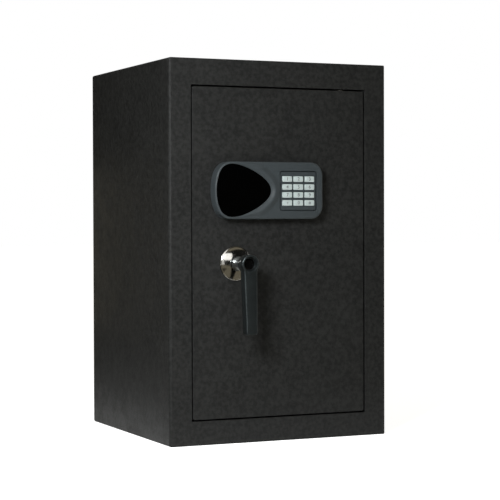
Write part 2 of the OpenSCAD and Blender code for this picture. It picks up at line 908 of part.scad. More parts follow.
module solenoid_frame() {
    x0 = sol_x - sol_w / 2;
    x1 = sol_x + sol_w / 2;
    y0 = door_back;
    y1 = sol_y + sol_w / 2;
    z1 = sol_z0 + sol_h;
    color(grey_steel) difference() {
        union() {
            box([x0, y0, sol_z0], [x1, y0 + sol_plate, z1]);
            box([x0, y0, sol_z0], [x1, y1, sol_z0 + sol_plate]);
            box([x0, y0, z1 - sol_plate], [x1, y1, z1]);
        }
        translate([sol_x, sol_y, sol_z0 - cut]) cylinder(r = plunger_r + 0.5, h = sol_h + 2 * cut);
    }
}

module solenoid_coil() {
    coil_r = 11;
    color(copper) difference() {
        translate([sol_x, sol_y, sol_z0 + sol_plate]) cylinder(r = coil_r, h = sol_h - 2 * sol_plate);
        translate([sol_x, sol_y, sol_z0]) cylinder(r = plunger_r + gap, h = sol_h);
    }
}

// Plunger, drawn in: a blocking tip, a collar for the spring and a head at the top
module solenoid_plunger() {
    tip_z = arm_z1 + lug_h + 1;
    top_z = sol_z0 + sol_h + plunger_travel + 1;
    head_t = 2;
    color(bright_steel) translate([sol_x, sol_y, 0]) {
        translate([0, 0, tip_z]) cylinder(r = plunger_r, h = top_z - tip_z);
        translate([0, 0, collar_z]) cylinder(r = plunger_r + 2, h = collar_t);
        translate([0, 0, top_z]) cylinder(r = plunger_r + 1, h = head_t);
    }
}

module plunger_spring() {
    turns = 4;
    steps = 14;
    spring_wire_r = 0.45;
    z0 = collar_z + collar_t + spring_wire_r + 0.05;
    z1 = sol_z0 - spring_wire_r - 0.05;
    count = turns * steps;
    spring_r = plunger_r + gap + spring_wire_r + 0.3;
    color(bright_steel) tube_path([
        for (i = [0:count])
            [sol_x + spring_r * cos(360 * i / steps), sol_y + spring_r * sin(360 * i / steps),
             z0 + (z1 - z0) * i / count]
    ], spring_wire_r, 6);
}

// ---- Handle ----

// Domed rosette on the door's face
module rosette() {
    rim_h = 2.2;
    sag = rosette_h - rim_h;
    dome_r = (rosette_r * rosette_r + sag * sag) / (2 * sag);
    color(bright_steel) difference() {
        intersection() {
            rod_y(rosette_r, handle_x, handle_z, door_front - rosette_h, door_front);
            translate([handle_x, door_front - rosette_h + dome_r, handle_z])
                rotate([90, 0, 0]) sphere(dome_r, $fn = 128);
        }
        rod_y(neck_r + gap + 0.3, handle_x, handle_z, door_front - rosette_h - cut, door_front + cut);
    }
}

module spindle_bush() {
    flange_r = neck_r - 0.5;
    color(brass) difference() {
        union() {
            rod_y(spindle_r + 3, handle_x, handle_z, door_front, door_back + 1);
            rod_y(flange_r, handle_x, handle_z, door_front - 1.5, door_front);
        }
        rod_y(spindle_r + spindle_fit, handle_x, handle_z, door_front - 2 - cut, door_back + 1 + cut);
    }
}

// Side profile of the lever's blade: it leans out and thins towards its end
module lever_side() {
    polygon([
        [hub_front, handle_z + hub_r],
        [hub_front, handle_z - hub_r],
        [hub_front - lever_flare, handle_z - lever_len],
        [hub_front - lever_flare + lever_end_t, handle_z - lever_len],
        [hub_front + lever_root_t, handle_z - hub_r],
        [hub_front + lever_root_t, handle_z + hub_r],
    ]);
}

// Front outline of the lever's blade
module lever_front() {
    end_r = 2.5;
    end_half = lever_end_w / 2;
    translate([handle_x, handle_z]) {
        circle(hub_r);
        polygon([
            [-lever_w / 2, 0],
            [-end_half, -lever_len + end_r],
            [-end_half + end_r, -lever_len],
            [end_half - end_r, -lever_len],
            [end_half, -lever_len + end_r],
            [lever_w / 2, 0],
        ]);
    }
}

module handle_lever() {
    color(bright_steel) difference() {
        union() {
            intersection() {
                slab(hub_front - lever_flare - cut, hub_front + lever_root_t + cut) lever_front();
                side_slab(handle_x - 2 * hub_r, handle_x + 2 * hub_r) lever_side();
            }
            rod_y(hub_r, handle_x, handle_z, hub_front, hub_front + hub_t);
            rod_y(neck_r, handle_x, handle_z, hub_front + hub_t, neck_end);
        }
        translate([handle_x, hub_front + cap_sink, handle_z]) rotate([90, 0, 0])
            cylinder(r1 = cap_r, r2 = mouth_r, h = cap_sink + cut);
        rod_y(cap_r, handle_x, handle_z, hub_front + cap_sink - cut, hub_front + cap_sink + cap_t);
        rod_y(screw_head_r + 0.2, handle_x, handle_z, hub_front, seat_y);
        box([handle_x - drive_sq / 2, seat_y - cut, handle_z - drive_sq / 2],
            [handle_x + drive_sq / 2, neck_end + cut, handle_z + drive_sq / 2]);
    }
}

module hub_cap() {
    y0 = hub_front + cap_sink;
    color(rubber_black) rod_y(cap_r, handle_x, handle_z, y0, y0 + cap_t);
}

module lever_screw() {
    color(grey_steel) {
        rod_y(screw_head_r, handle_x, handle_z, seat_y - screw_head_t, seat_y);
        rod_y(screw_r, handle_x, handle_z, seat_y, seat_y + screw_len);
    }
}

// Square in the lever, round in its bush, square again in the cam, grooved for the clip
module spindle() {
    end_y = cam_y1 + 4;
    color(grey_steel) difference() {
        union() {
            box([handle_x - drive_sq / 2, seat_y, handle_z - drive_sq / 2],
                [handle_x + drive_sq / 2, end_y, handle_z + drive_sq / 2]);
            rod_y(spindle_r, handle_x, handle_z, neck_end, cam_y0);
        }
        rod_y(screw_r, handle_x, handle_z, seat_y - cut, seat_y + screw_len);
        difference() {
            rod_y(spindle_r + 1, handle_x, handle_z, cam_y1, cam_y1 + clip_t);
            rod_y(clip_bore_r, handle_x, handle_z, cam_y1 - cut, cam_y1 + clip_t + cut);
        }
    }
}

// Crank on the spindle, its pin in the carriage's fork
module spindle_cam() {
    tip_r = 5.5;
    pin_y0 = web_y - 0.5;
    color(grey_steel) translate([handle_x, 0, handle_z]) difference() {
        union() {
            slab(cam_y0, cam_y1) rotate(90 - crank_angle) {
                circle(9);
                translate([crank_r, 0]) circle(tip_r);
                rect(0, -tip_r + 0.5, crank_r, tip_r - 0.5);
            }
            rod_y(crank_pin_r, crank_r * sin(crank_angle), crank_r * cos(crank_angle), pin_y0, cam_y1);
        }
        slab(cam_y0 - cut, cam_y1 + cut) square(drive_sq, center = true);
    }
}

module spindle_clip() {
    color(bright_steel) difference() {
        rod_y(6.5, handle_x, handle_z, cam_y1, cam_y1 + clip_t);
        rod_y(clip_bore_r, handle_x, handle_z, cam_y1 - cut, cam_y1 + clip_t + cut);
        box([handle_x - 1.5, cam_y1 - cut, handle_z - 8], [handle_x + 1.5, cam_y1 + clip_t + cut, handle_z]);
    }
}

// ---- Bolts ----

// Strip that joins the bolts, with a forked arm for the crank pin and a ramped blocking lug
module bolt_carriage() {
    strip_z0 = bolt_zs[0] - 12;
    strip_z1 = bolt_zs[1] + 12;
    strip_t = 3;
    arm_y1 = sol_y + 6;
    lug_x0 = sol_x + plunger_r + 1;
    lug_x1 = lug_x0 + lug_w;
    slot_half = crank_pin_r + crank_slack;
    color(grey_steel) difference() {
        union() {
            slab(web_y, web_y + web_t) {
                rect(strip_x, strip_z0, strip_x + strip_w, strip_z1);
                rect(strip_x + strip_w - 1, arm_z0, arm_x1, arm_z1);
            }
            box([strip_x, web_y, strip_z0], [strip_x + strip_t, bolt_y + bolt_r, strip_z1]);
            box([strip_x + strip_w, web_y, arm_z1 - web_t], [arm_x1, arm_y1, arm_z1]);
            slab(sol_y - 4, sol_y + 4) polygon([
                [lug_x0, arm_z1 - cut], [lug_x0, arm_z1], [lug_x0 + 5, arm_z1 + lug_h],
                [lug_x1, arm_z1 + lug_h], [lug_x1, arm_z1 - cut],
            ]);
        }
        slab(web_y - cut, web_y + web_t + cut) rect(
            slot_x - slot_half, arm_z0 - cut, slot_x + slot_half,
            handle_z + crank_r + crank_pin_r + 1);
        for (z = bolt_zs)
            rod_x(stud_r, bolt_y, z, strip_x - cut, strip_x + strip_t + cut);
    }
}

// Round bolt with a chamfered tip and a stud riveted into the carriage
module locking_bolts() {
    tip = 1.5;
    color(bright_steel) for (z = bolt_zs) translate([stile_x, bolt_y, z]) rotate([0, 90, 0]) {
        cylinder(r1 = bolt_r - tip, r2 = bolt_r, h = tip);
        translate([0, 0, tip]) cylinder(r = bolt_r, h = bolt_len - tip);
        translate([0, 0, bolt_len]) cylinder(r = stud_r, h = stud_len);
    }
}

body_shell();
back_panel();
jamb_latch();
jamb_hinge();
jamb_head();
jamb_sill();
hinge_pins();
shelf_brackets();
floor_mat();
shelf_panel();
shelf_mat();
door_plate();
bolt_stile();
hinge_blocks();
hinge_bushes();
inner_cover();
cover_screws();
lock_housing();
housing_gasket();
display_lens();
display_module();
keypad_membrane();
lock_board();
housing_screws();
battery_box();
battery_cells();
battery_contacts();
battery_cover();
solenoid_frame();
solenoid_coil();
solenoid_plunger();
plunger_spring();
rosette();
spindle_bush();
handle_lever();
hub_cap();
lever_screw();
spindle();
spindle_cam();
spindle_clip();
bolt_carriage();
locking_bolts();
override_cylinder();
override_nut();
override_plug();
reset_button();
lock_harness();
cable_grommet();
keypad_key(0, 0);  // key_1
keypad_key(1, 0);  // key_2
keypad_key(2, 0);  // key_3
keypad_key(0, 1);  // key_4
keypad_key(1, 1);  // key_5
keypad_key(2, 1);  // key_6
keypad_key(0, 2);  // key_7
keypad_key(1, 2);  // key_8
keypad_key(2, 2);  // key_9
keypad_key(0, 3);  // key_star
keypad_key(1, 3);  // key_0
keypad_key(2, 3);  // key_hash
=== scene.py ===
"""Looks of an upright in-room safe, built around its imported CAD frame.

Each sub-assembly is a class that knows its own sizes, builds its meshes in the frame's metres
and dresses them. Places come from the frame; only what the frame leaves plain is shaped here.
"""

from __future__ import annotations

import json
import logging
import math
from dataclasses import dataclass, field
from enum import Enum
from typing import Callable, Iterable, Sequence

import bmesh
import bpy
from mathutils import Matrix, Vector

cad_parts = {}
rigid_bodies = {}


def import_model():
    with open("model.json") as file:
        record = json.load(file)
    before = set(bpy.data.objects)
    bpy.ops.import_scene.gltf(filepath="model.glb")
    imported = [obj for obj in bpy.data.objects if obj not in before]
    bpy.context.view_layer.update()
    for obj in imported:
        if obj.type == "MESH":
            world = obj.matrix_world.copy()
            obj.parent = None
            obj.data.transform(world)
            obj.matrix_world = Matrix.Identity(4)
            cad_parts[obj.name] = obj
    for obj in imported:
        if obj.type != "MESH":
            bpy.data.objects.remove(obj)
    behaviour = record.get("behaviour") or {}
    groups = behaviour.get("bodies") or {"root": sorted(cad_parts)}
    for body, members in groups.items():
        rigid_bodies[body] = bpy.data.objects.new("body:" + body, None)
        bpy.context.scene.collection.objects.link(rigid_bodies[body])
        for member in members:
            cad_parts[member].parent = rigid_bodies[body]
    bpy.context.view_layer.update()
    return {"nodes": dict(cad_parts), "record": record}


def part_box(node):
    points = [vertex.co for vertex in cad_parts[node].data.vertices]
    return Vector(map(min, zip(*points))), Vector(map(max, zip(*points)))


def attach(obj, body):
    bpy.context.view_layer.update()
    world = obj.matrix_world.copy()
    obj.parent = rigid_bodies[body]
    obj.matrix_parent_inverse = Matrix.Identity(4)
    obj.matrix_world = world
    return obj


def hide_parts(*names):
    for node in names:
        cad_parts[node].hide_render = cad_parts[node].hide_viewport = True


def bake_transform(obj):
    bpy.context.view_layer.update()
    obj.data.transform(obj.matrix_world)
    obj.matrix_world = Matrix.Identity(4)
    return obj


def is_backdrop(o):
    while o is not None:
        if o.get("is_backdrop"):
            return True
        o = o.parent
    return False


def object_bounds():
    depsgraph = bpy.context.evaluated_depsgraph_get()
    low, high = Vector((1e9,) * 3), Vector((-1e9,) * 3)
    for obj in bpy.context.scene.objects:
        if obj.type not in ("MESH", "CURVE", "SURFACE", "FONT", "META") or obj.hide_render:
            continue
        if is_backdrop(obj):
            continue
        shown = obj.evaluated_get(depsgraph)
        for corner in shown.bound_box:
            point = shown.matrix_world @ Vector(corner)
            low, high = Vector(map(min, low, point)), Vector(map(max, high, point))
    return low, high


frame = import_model()

LOG = logging.getLogger("safe")
MM = 0.001
WHITE = (1.0, 1.0, 1.0)
Point2 = tuple[float, float]
Point3 = tuple[float, float, float]
Colour = tuple[float, float, float]
Node = bpy.types.Node
Plug = bpy.types.NodeSocket
Solid = bmesh.types.BMesh
Mesh = bpy.types.Mesh

# Head radius of the lock panel's screws, which the door plate's holes follow.
PANEL_HEAD_R = 3.6 * MM


# ---------------------------------------------------------------- node trees


class Graph:
    """Adds and links nodes in one shader or geometry tree."""

    def __init__(self, tree: bpy.types.NodeTree) -> None:
        """Keeps the tree that nodes are added to."""
        self.tree = tree

    def add(self, kind: str, **settings: object) -> Node:
        """Adds a node.

        Args:
            kind: The node's type, as Blender names it.
            settings: Properties of the node, by name.

        Returns:
            The new node.
        """
        node = self.tree.nodes.new(kind)
        for name, value in settings.items():
            setattr(node, name, value)
        return node

    def feed(self, socket: Plug, value: object) -> None:
        """Links a socket to another one, or sets its own value.

        Args:
            socket: The input to feed.
            value: An output socket, or a plain value.
        """
        if isinstance(value, Plug):
            self.tree.links.new(value, socket)
        else:
            socket.default_value = value

    def call(self, kind: str, inputs: dict[str | int, object], **settings: object) -> Node:
        """Adds a node and feeds its inputs.

        Args:
            kind: The node's type.
            inputs: Values or sockets, by input name or place.
            settings: Properties of the node.

        Returns:
            The new node.
        """
        node = self.add(kind, **settings)
        for key, value in inputs.items():
            self.feed(node.inputs[key], value)
        return node

    def maths(self, operation: str, *values: object, clamp: bool = False) -> Plug:
        """Adds a Math node.

        Args:
            operation: What it works out, such as MULTIPLY.
            values: Its inputs in order.
            clamp: Whether the result stays between 0 and 1.

        Returns:
            The result's socket.
        """
        node = self.add("ShaderNodeMath", operation=operation, use_clamp=clamp)
        for place, value in enumerate(values):
            self.feed(node.inputs[place], value)
        return node.outputs[0]

    def noise(self, place: object, scale: object, detail: float, roughness: float = 0.5) -> Plug:
        """Adds a Noise Texture.

        Args:
            place: The point that it is read at.
            scale: Its frequency per metre.
            detail: How many finer layers it has.
            roughness: How strong the finer layers are.

        Returns:
            The noise's socket, from 0 to 1.
        """
        return self.call("ShaderNodeTexNoise", {"Vector": place, "Scale": scale, "Detail": detail,
                                                "Roughness": roughness}).outputs[0]

    def ramp(self, value: object, low: float, high: float, to: Point2 = (0.0, 1.0)) -> Plug:
        """Maps a value smoothly from one span to another.

        Args:
            value: The socket to map.
            low: Where the output starts to change.
            high: Where it stops changing.
            to: The output at low and at high.

        Returns:
            The mapped value's socket.
        """
        node = self.add("ShaderNodeMapRange", interpolation_type="SMOOTHSTEP")
        for place, item in enumerate((value, low, high, to[0], to[1])):
            self.feed(node.inputs[place], item)
        return node.outputs["Result"]


class Socket(Enum):
    """Kinds of socket that the node groups here have."""

    VECTOR = "NodeSocketVector"
    FLOAT = "NodeSocketFloat"
    INT = "NodeSocketInt"
    COLOUR = "NodeSocketColor"
    GEOMETRY = "NodeSocketGeometry"
    MATERIAL = "NodeSocketMaterial"
    OBJECT = "NodeSocketObject"


@dataclass
class Group:
    """A node group with named sockets, built once and kept by name."""

    name: str
    kind: str
    inputs: dict[str, Socket]
    outputs: dict[str, Socket]
    fill: Callable[[Graph, Node, Node], None]

    def tree(self) -> bpy.types.NodeTree:
        """Builds the group's tree the first time, and returns it."""
        made = bpy.data.node_groups.get(self.name)
        if made:
            return made
        made = bpy.data.node_groups.new(self.name, self.kind)
        for name, socket in self.inputs.items():
            made.interface.new_socket(name=name, in_out="INPUT", socket_type=socket.value)
        for name, socket in self.outputs.items():
            made.interface.new_socket(name=name, in_out="OUTPUT", socket_type=socket.value)
        graph = Graph(made)
        self.fill(graph, graph.add("NodeGroupInput"), graph.add("NodeGroupOutput"))
        return made

    def place(self, graph: Graph, inputs: dict[str, object]) -> Node:
        """Places the group in a material.

        Args:
            graph: The material's graph.
            inputs: The group's inputs, by name.

        Returns:
            The group's node.
        """
        return graph.call("ShaderNodeGroup", inputs, node_tree=self.tree())


# ---------------------------------------------------------------- shared surface effects

# Frequencies of the broad patterns, per metre.
WEAR_AND_HIGHLIGHT_PATCHES = 90.0
DUST_CLOUDS = 14.0
SMEARS = 60.0


def fill_grain(graph: Graph, ins: Node, outs: Node) -> None:
    """Fine wrinkles of a textured coat or a spark-eroded mould, and a broader mottle.

    Args:
        graph: The group's graph.
        ins: Its input node.
        outs: Its output node.
    """
    place = ins.outputs["Vector"]
    scale = graph.maths("DIVIDE", 1.0, ins.outputs["Grain Size"])
    broad = graph.maths("DIVIDE", 1.0, ins.outputs["Mottle Size"])
    fine = graph.noise(place, scale, 3.0)
    cells = graph.call("ShaderNodeTexVoronoi", {"Vector": place, "Scale": scale, "Smoothness": 0.7},
                       feature="SMOOTH_F1")
    mottle = graph.noise(place, broad, 5.0, 0.6)
    height = graph.maths("ADD", graph.maths("MULTIPLY", fine, 0.6),
                         graph.maths("MULTIPLY", cells.outputs["Distance"], 0.5))
    graph.feed(outs.inputs["Height"], height)
    graph.feed(outs.inputs["Mottle"], graph.ramp(mottle, 0.32, 0.68))
    graph.feed(outs.inputs["Pits"], graph.ramp(height, 0.28, 0.62))


def fill_edge(graph: Graph, ins: Node, outs: Node) -> None:
    """A mask of edges that are lighter from wear and from a painted highlight, and the normal of edges that
    are broken by a small radius.

    Args:
        graph: The group's graph.
        ins: Its input node.
        outs: Its output node.
    """
    bevel = graph.call("ShaderNodeBevel", {"Radius": ins.outputs["Radius"]}, samples=4)
    flat = graph.add("ShaderNodeNewGeometry")
    facing = graph.call("ShaderNodeVectorMath", {0: bevel.outputs[0], 1: flat.outputs["Normal"]},
                        operation="DOT_PRODUCT")
    turned = graph.ramp(graph.maths("SUBTRACT", 1.0, facing.outputs["Value"]), 0.01, 0.12)
    patch = graph.noise(ins.outputs["Vector"], WEAR_AND_HIGHLIGHT_PATCHES, 4.0)
    # The edge mask stands for wear and also for a painted highlight on the rounding; random patches break it
    # up.
    worn_lit = graph.maths("MULTIPLY", turned, graph.ramp(patch, 0.35, 0.7))
    graph.feed(outs.inputs["Worn"], worn_lit)
    graph.feed(outs.inputs["Normal"], bevel.outputs[0])


def fill_dust(graph: Graph, ins: Node, outs: Node) -> None:
    """A thin film of dust, thicker on what faces up.

    Args:
        graph: The group's graph.
        ins: Its input node.
        outs: Its output node.
    """
    flat = graph.add("ShaderNodeNewGeometry")
    split = graph.call("ShaderNodeSeparateXYZ", {0: flat.outputs["Normal"]})
    up = graph.ramp(split.outputs["Z"], -0.2, 1.0, (0.25, 1.0))
    cloud = graph.noise(ins.outputs["Vector"], DUST_CLOUDS, 6.0, 0.62)
    film = graph.maths("MULTIPLY", up, graph.ramp(cloud, 0.3, 0.75))
    graph.feed(outs.inputs["Film"], graph.maths("MULTIPLY", film, ins.outputs["Amount"], clamp=True))


def fill_brush(graph: Graph, ins: Node, outs: Node) -> None:
    """Fine lines left by brushing, rolling or turning, stretched along one axis.

    Args:
        graph: The group's graph.
        ins: Its input node.
        outs: Its output node.
    """
    drawn = graph.call("ShaderNodeVectorMath", {0: ins.outputs["Vector"], 1: ins.outputs["Stretch"]},
                       operation="MULTIPLY")
    graph.feed(outs.inputs["Lines"], graph.noise(drawn.outputs[0], 1.0, 4.0, 0.7))
    smear = graph.noise(ins.outputs["Vector"], SMEARS, 5.0)
    graph.feed(outs.inputs["Smear"], graph.ramp(smear, 0.35, 0.7))


GRAIN = Group("surface_grain", "ShaderNodeTree",
              {"Vector": Socket.VECTOR, "Grain Size": Socket.FLOAT, "Mottle Size": Socket.FLOAT},
              {"Height": Socket.FLOAT, "Mottle": Socket.FLOAT, "Pits": Socket.FLOAT}, fill_grain)
EDGE = Group("broken_edge", "ShaderNodeTree", {"Vector": Socket.VECTOR, "Radius": Socket.FLOAT},
             {"Worn": Socket.FLOAT, "Normal": Socket.VECTOR}, fill_edge)
DUST = Group("dust_film", "ShaderNodeTree", {"Vector": Socket.VECTOR, "Amount": Socket.FLOAT},
             {"Film": Socket.FLOAT}, fill_dust)
BRUSH = Group("brushed_lines", "ShaderNodeTree", {"Vector": Socket.VECTOR, "Stretch": Socket.VECTOR},
              {"Lines": Socket.FLOAT, "Smear": Socket.FLOAT}, fill_brush)


# ---------------------------------------------------------------- finishes


class Lay(Enum):
    """Way that a metal's fine lines run, as the pattern's frequency along X, Y and Z per metre."""

    ALONG_X = (60.0, 2600.0, 2600.0)
    ALONG_Z = (2600.0, 2600.0, 60.0)
    ROUND_Y = (900.0, 5200.0, 900.0)
    NONE = (700.0, 700.0, 700.0)


@dataclass(frozen=True)
class Finish:
    """A surface finish: plain values, and how much each shared effect changes them."""

    slot: str
    colour: Colour
    roughness: float
    tint: Colour | None = None
    metallic: float = 0.0
    ior: float = 1.45
    grain_size: float = 0.5 * MM
    grain_depth: float = 0.02 * MM
    mottle_size: float = 6.0 * MM
    mottle: float = 0.4
    uneven: float = 0.08
    lay: Lay = Lay.NONE
    lines_depth: float = 0.0
    # How much edges lighten: partly wear, partly a painted highlight along rounded edges.
    wear_and_highlight: float = 0.0
    wear_highlight_colour: Colour = (0.25, 0.25, 0.25)
    edge_radius: float = 0.25 * MM
    dust: float = 0.06
    dust_colour: Colour = (0.22, 0.21, 0.20)
    coat: float = 0.0
    sheen: float = 0.0

    def material(self, name: str) -> bpy.types.Material:
        """Builds the finish's material the first time, and returns it.

        Args:
            name: The material's name.

        Returns:
            The material.
        """
        made = bpy.data.materials.get(name)
        if made:
            return made
        made = bpy.data.materials.new(name)
        made.use_nodes = True
        made.diffuse_color = (*self.colour, 1.0)
        graph = Graph(made.node_tree)
        made.node_tree.nodes.clear()
        place = graph.add("ShaderNodeTexCoord").outputs["Object"]
        grain = GRAIN.place(graph, {"Vector": place, "Grain Size": self.grain_size,
                                    "Mottle Size": self.mottle_size})
        brush = BRUSH.place(graph, {"Vector": place, "Stretch": self.lay.value})
        edge = EDGE.place(graph, {"Vector": place, "Radius": self.edge_radius})
        dust = DUST.place(graph, {"Vector": place, "Amount": self.dust})
        shader = graph.call("ShaderNodeBsdfPrincipled", {
            "Metallic": self.metallic, "IOR": self.ior, "Coat Weight": self.coat,
            "Coat Roughness": 0.08, "Sheen Weight": self.sheen, "Sheen Roughness": 0.5})
        shader.inputs["Sheen Tint"].default_value = (*self.dust_colour, 1.0)
        graph.feed(shader.inputs["Base Color"], self.shade(graph, grain, edge, dust))
        graph.feed(shader.inputs["Roughness"], self.gloss(graph, grain, brush, edge, dust))
        graph.feed(shader.inputs["Normal"], self.relief(graph, grain, brush, edge))
        graph.call("ShaderNodeOutputMaterial", {"Surface": shader.outputs[0]})
        return made

    def shade(self, graph: Graph, grain: Node, edge: Node, dust: Node) -> Plug:
        """Works out the colour.

        Args:
            graph: The material's graph.
            grain: The grain group's node.
            edge: The edge group's node.
            dust: The dust group's node.

        Returns:
            The colour's socket.
        """
        tint = self.tint or tuple(0.6 * part for part in self.colour)
        mottled = graph.maths("MULTIPLY", grain.outputs["Mottle"], self.mottle)
        colour = mix(graph, mottled, (*self.colour, 1.0), (*tint, 1.0))
        # Edges are mixed towards a lighter colour: wear, and a painted highlight on their rounding.
        worn_lit = graph.maths("MULTIPLY", edge.outputs["Worn"], self.wear_and_highlight)
        colour = mix(graph, worn_lit, colour, (*self.wear_highlight_colour, 1.0))
        return mix(graph, dust.outputs["Film"], colour, (*self.dust_colour, 1.0))

    def gloss(self, graph: Graph, grain: Node, brush: Node, edge: Node, dust: Node) -> Plug:
        """Works out the roughness.

        Args:
            graph: The material's graph.
            grain: The grain group's node.
            brush: The brushed lines' node.
            edge: The edge group's node.
            dust: The dust group's node.

        Returns:
            The roughness socket.
        """
        spread = graph.maths("ADD", graph.maths("MULTIPLY", brush.outputs["Smear"], self.uneven),
                             graph.maths("MULTIPLY", grain.outputs["Pits"], self.uneven))
        rough = graph.maths("ADD", spread, self.roughness - self.uneven)
        rough = graph.maths("ADD", rough, graph.maths("MULTIPLY", dust.outputs["Film"], 0.5))
        polish = graph.maths("MULTIPLY", edge.outputs["Worn"], 0.1 * self.wear_and_highlight)
        return graph.maths("SUBTRACT", rough, polish, clamp=True)

    def relief(self, graph: Graph, grain: Node, brush: Node, edge: Node) -> Plug:
        """Works out the normal.

        Args:
            graph: The material's graph.
            grain: The grain group's node.
            brush: The brushed lines' node.
            edge: The edge group's node.

        Returns:
            The normal's socket.
        """
        normal = edge.outputs["Normal"]
        for height, depth in ((grain.outputs["Height"], self.grain_depth),
                              (brush.outputs["Lines"], self.lines_depth)):
            if depth:
                bump = graph.call("ShaderNodeBump", {"Height": height, "Distance": depth, "Normal": normal})
                normal = bump.outputs[0]
        return normal


def mix(graph: Graph, factor: object, first: object, second: object) -> Plug:
    """Mixes two colours.

    Args:
        graph: The graph that gets the node.
        factor: Share of the second colour.
        first: A colour or its socket.
        second: A colour or its socket.

    Returns:
        The mixed colour's socket.
    """
    # A Mix node keeps its colours at places 6 and 7, and the mixed colour at 2.
    return graph.call("ShaderNodeMix", {0: factor, 6: first, 7: second}, data_type="RGBA").outputs[2]


class Coat(Enum):
    """Every finish of the safe, by the surface that it is on."""

    # The cabinet's lighter edges are partly wear and partly a painted highlight.
    CABINET = Finish("cabinet_paint", (0.0230, 0.0234, 0.0229), 0.56, tint=(0.0102, 0.0105, 0.0105),
                     ior=1.3, grain_size=1.1 * MM, grain_depth=0.14 * MM, mottle_size=5.2 * MM, mottle=0.95,
                     uneven=0.10, wear_and_highlight=0.06, wear_highlight_colour=(0.06, 0.06, 0.06), edge_radius=0.35 * MM,
                     dust=0.05)
    PANEL = Finish("panel_plastic", (0.052, 0.062, 0.068), 0.40, tint=(0.042, 0.050, 0.056), ior=1.32,
                   grain_size=0.28 * MM, grain_depth=0.008 * MM, edge_radius=0.3 * MM, dust=0.05)
    LENS = Finish("lens_black", (0.0006, 0.0006, 0.0006), 0.05, ior=1.18, grain_depth=0.0,
                  mottle=0.0, uneven=0.03, edge_radius=0.2 * MM, dust=0.001)
    KEY = Finish("key_plastic", (0.56, 0.63, 0.63), 0.42, tint=(0.50, 0.58, 0.59), grain_size=0.2 * MM,
                 grain_depth=0.004 * MM, mottle_size=3.0 * MM, edge_radius=0.2 * MM, dust=0.05)
    LEGEND = Finish("box_black", (0.09, 0.10, 0.11), 0.5, edge_radius=0.02 * MM, grain_depth=0.0, dust=0.0)
    CAP = Finish("cap_black", (0.002, 0.002, 0.002), 0.16, ior=1.4, grain_depth=0.002 * MM, mottle=0.1,
                 dust=0.01)
    CHROME = Finish("chrome_plate", (0.44, 0.43, 0.40), 0.12, tint=(0.34, 0.33, 0.31), metallic=1.0,
                    grain_depth=0.001 * MM, mottle=0.3, uneven=0.05, lay=Lay.ROUND_Y, dust=0.03)
    # The lever's light edges are partly wear and partly a painted highlight.
    LEVER = Finish("lever_metal", (0.050, 0.059, 0.061), 0.34, tint=(0.041, 0.048, 0.050), metallic=0.8,
                   grain_size=0.3 * MM, grain_depth=0.004 * MM, uneven=0.06, wear_and_highlight=0.25, dust=0.03)
    SLEEVE = Finish("chrome_plate", (0.50, 0.54, 0.57), 0.30, tint=(0.42, 0.46, 0.49), metallic=1.0,
                    grain_depth=0.001 * MM, mottle=0.3, uneven=0.05, lay=Lay.ROUND_Y, dust=0.03)
    ZINC = Finish("zinc_steel", (0.50, 0.51, 0.53), 0.36, tint=(0.42, 0.44, 0.46), metallic=1.0,
                  mottle_size=5.0 * MM, mottle=0.8, grain_depth=0.003 * MM, lay=Lay.ALONG_Z,
                  lines_depth=0.004 * MM, dust=0.08)
    STEEL = Finish("bright_steel", (0.66, 0.66, 0.65), 0.22, metallic=1.0, mottle=0.25,
                   grain_depth=0.002 * MM, lay=Lay.ALONG_Z, lines_depth=0.004 * MM, dust=0.03)
    BRASS = Finish("brass", (0.60, 0.43, 0.17), 0.26, tint=(0.48, 0.33, 0.12), metallic=1.0, mottle=0.6,
                   grain_depth=0.002 * MM, lay=Lay.ROUND_Y, lines_depth=0.003 * MM, dust=0.03)
    DARK_BRASS = Finish("brass", (0.030, 0.027, 0.022), 0.5, metallic=0.6, mottle=0.6, dust=0.05)
    COPPER = Finish("copper_wire", (0.45, 0.18, 0.08), 0.3, metallic=0.9, mottle=0.3,
                    grain_depth=0.003 * MM, coat=0.5, dust=0.04)
    FELT = Finish("felt", (0.040, 0.040, 0.045), 0.95, tint=(0.022, 0.022, 0.026), grain_size=0.35 * MM,
                  grain_depth=0.35 * MM, mottle_size=2.2 * MM, mottle=0.9, edge_radius=0.5 * MM, dust=0.10,
                  sheen=0.35)
    BOARD = Finish("board_green", (0.01, 0.10, 0.03), 0.3, grain_size=1.4 * MM, grain_depth=0.02 * MM,
                   mottle_size=3.0 * MM, mottle=0.7, coat=0.3, dust=0.04)
    RUBBER = Finish("rubber_black", (0.013, 0.013, 0.013), 0.62, grain_size=0.3 * MM, dust=0.08)
    BOX = Finish("box_black", (0.017, 0.017, 0.018), 0.45, grain_size=0.35 * MM, grain_depth=0.02 * MM,
                 dust=0.08)
    CELL = Finish("cell_wrap", (0.02, 0.02, 0.021), 0.25, grain_depth=0.002 * MM, coat=0.4, dust=0.03)
    RED = Finish("button_red", (0.45, 0.012, 0.010), 0.35, tint=(0.36, 0.010, 0.009),
                 grain_depth=0.004 * MM, dust=0.04)
    WIRE = Finish("wire_red", (0.35, 0.011, 0.010), 0.45, grain_depth=0.006 * MM, dust=0.05)

    def material(self) -> bpy.types.Material:
        """Returns the finish's material."""
        return self.value.material(self.name.lower())


# ---------------------------------------------------------------- mesh helpers


def new_piece(name: str, mesh: Mesh, coat: Coat, body: str,
              stands_for: Sequence[str] = ()) -> bpy.types.Object:
    """Makes a finished piece of the object from its mesh.

    Args:
        name: The piece's name.
        mesh: Its mesh, in place in the frame's metres.
        coat: Its finish.
        body: The CAD body that it moves with.
        stands_for: The CAD nodes that it is shown instead of.

    Returns:
        The piece's object.
    """
    mesh.materials.clear()
    mesh.materials.append(coat.material())
    piece = bpy.data.objects.new(name, mesh)
    bpy.context.scene.collection.objects.link(piece)
    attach(piece, body)
    if stands_for:
        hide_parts(*stands_for)
    LOG.info("%s: %d faces on %s, %s", name, len(mesh.polygons), body, coat.value.slot)
    return piece


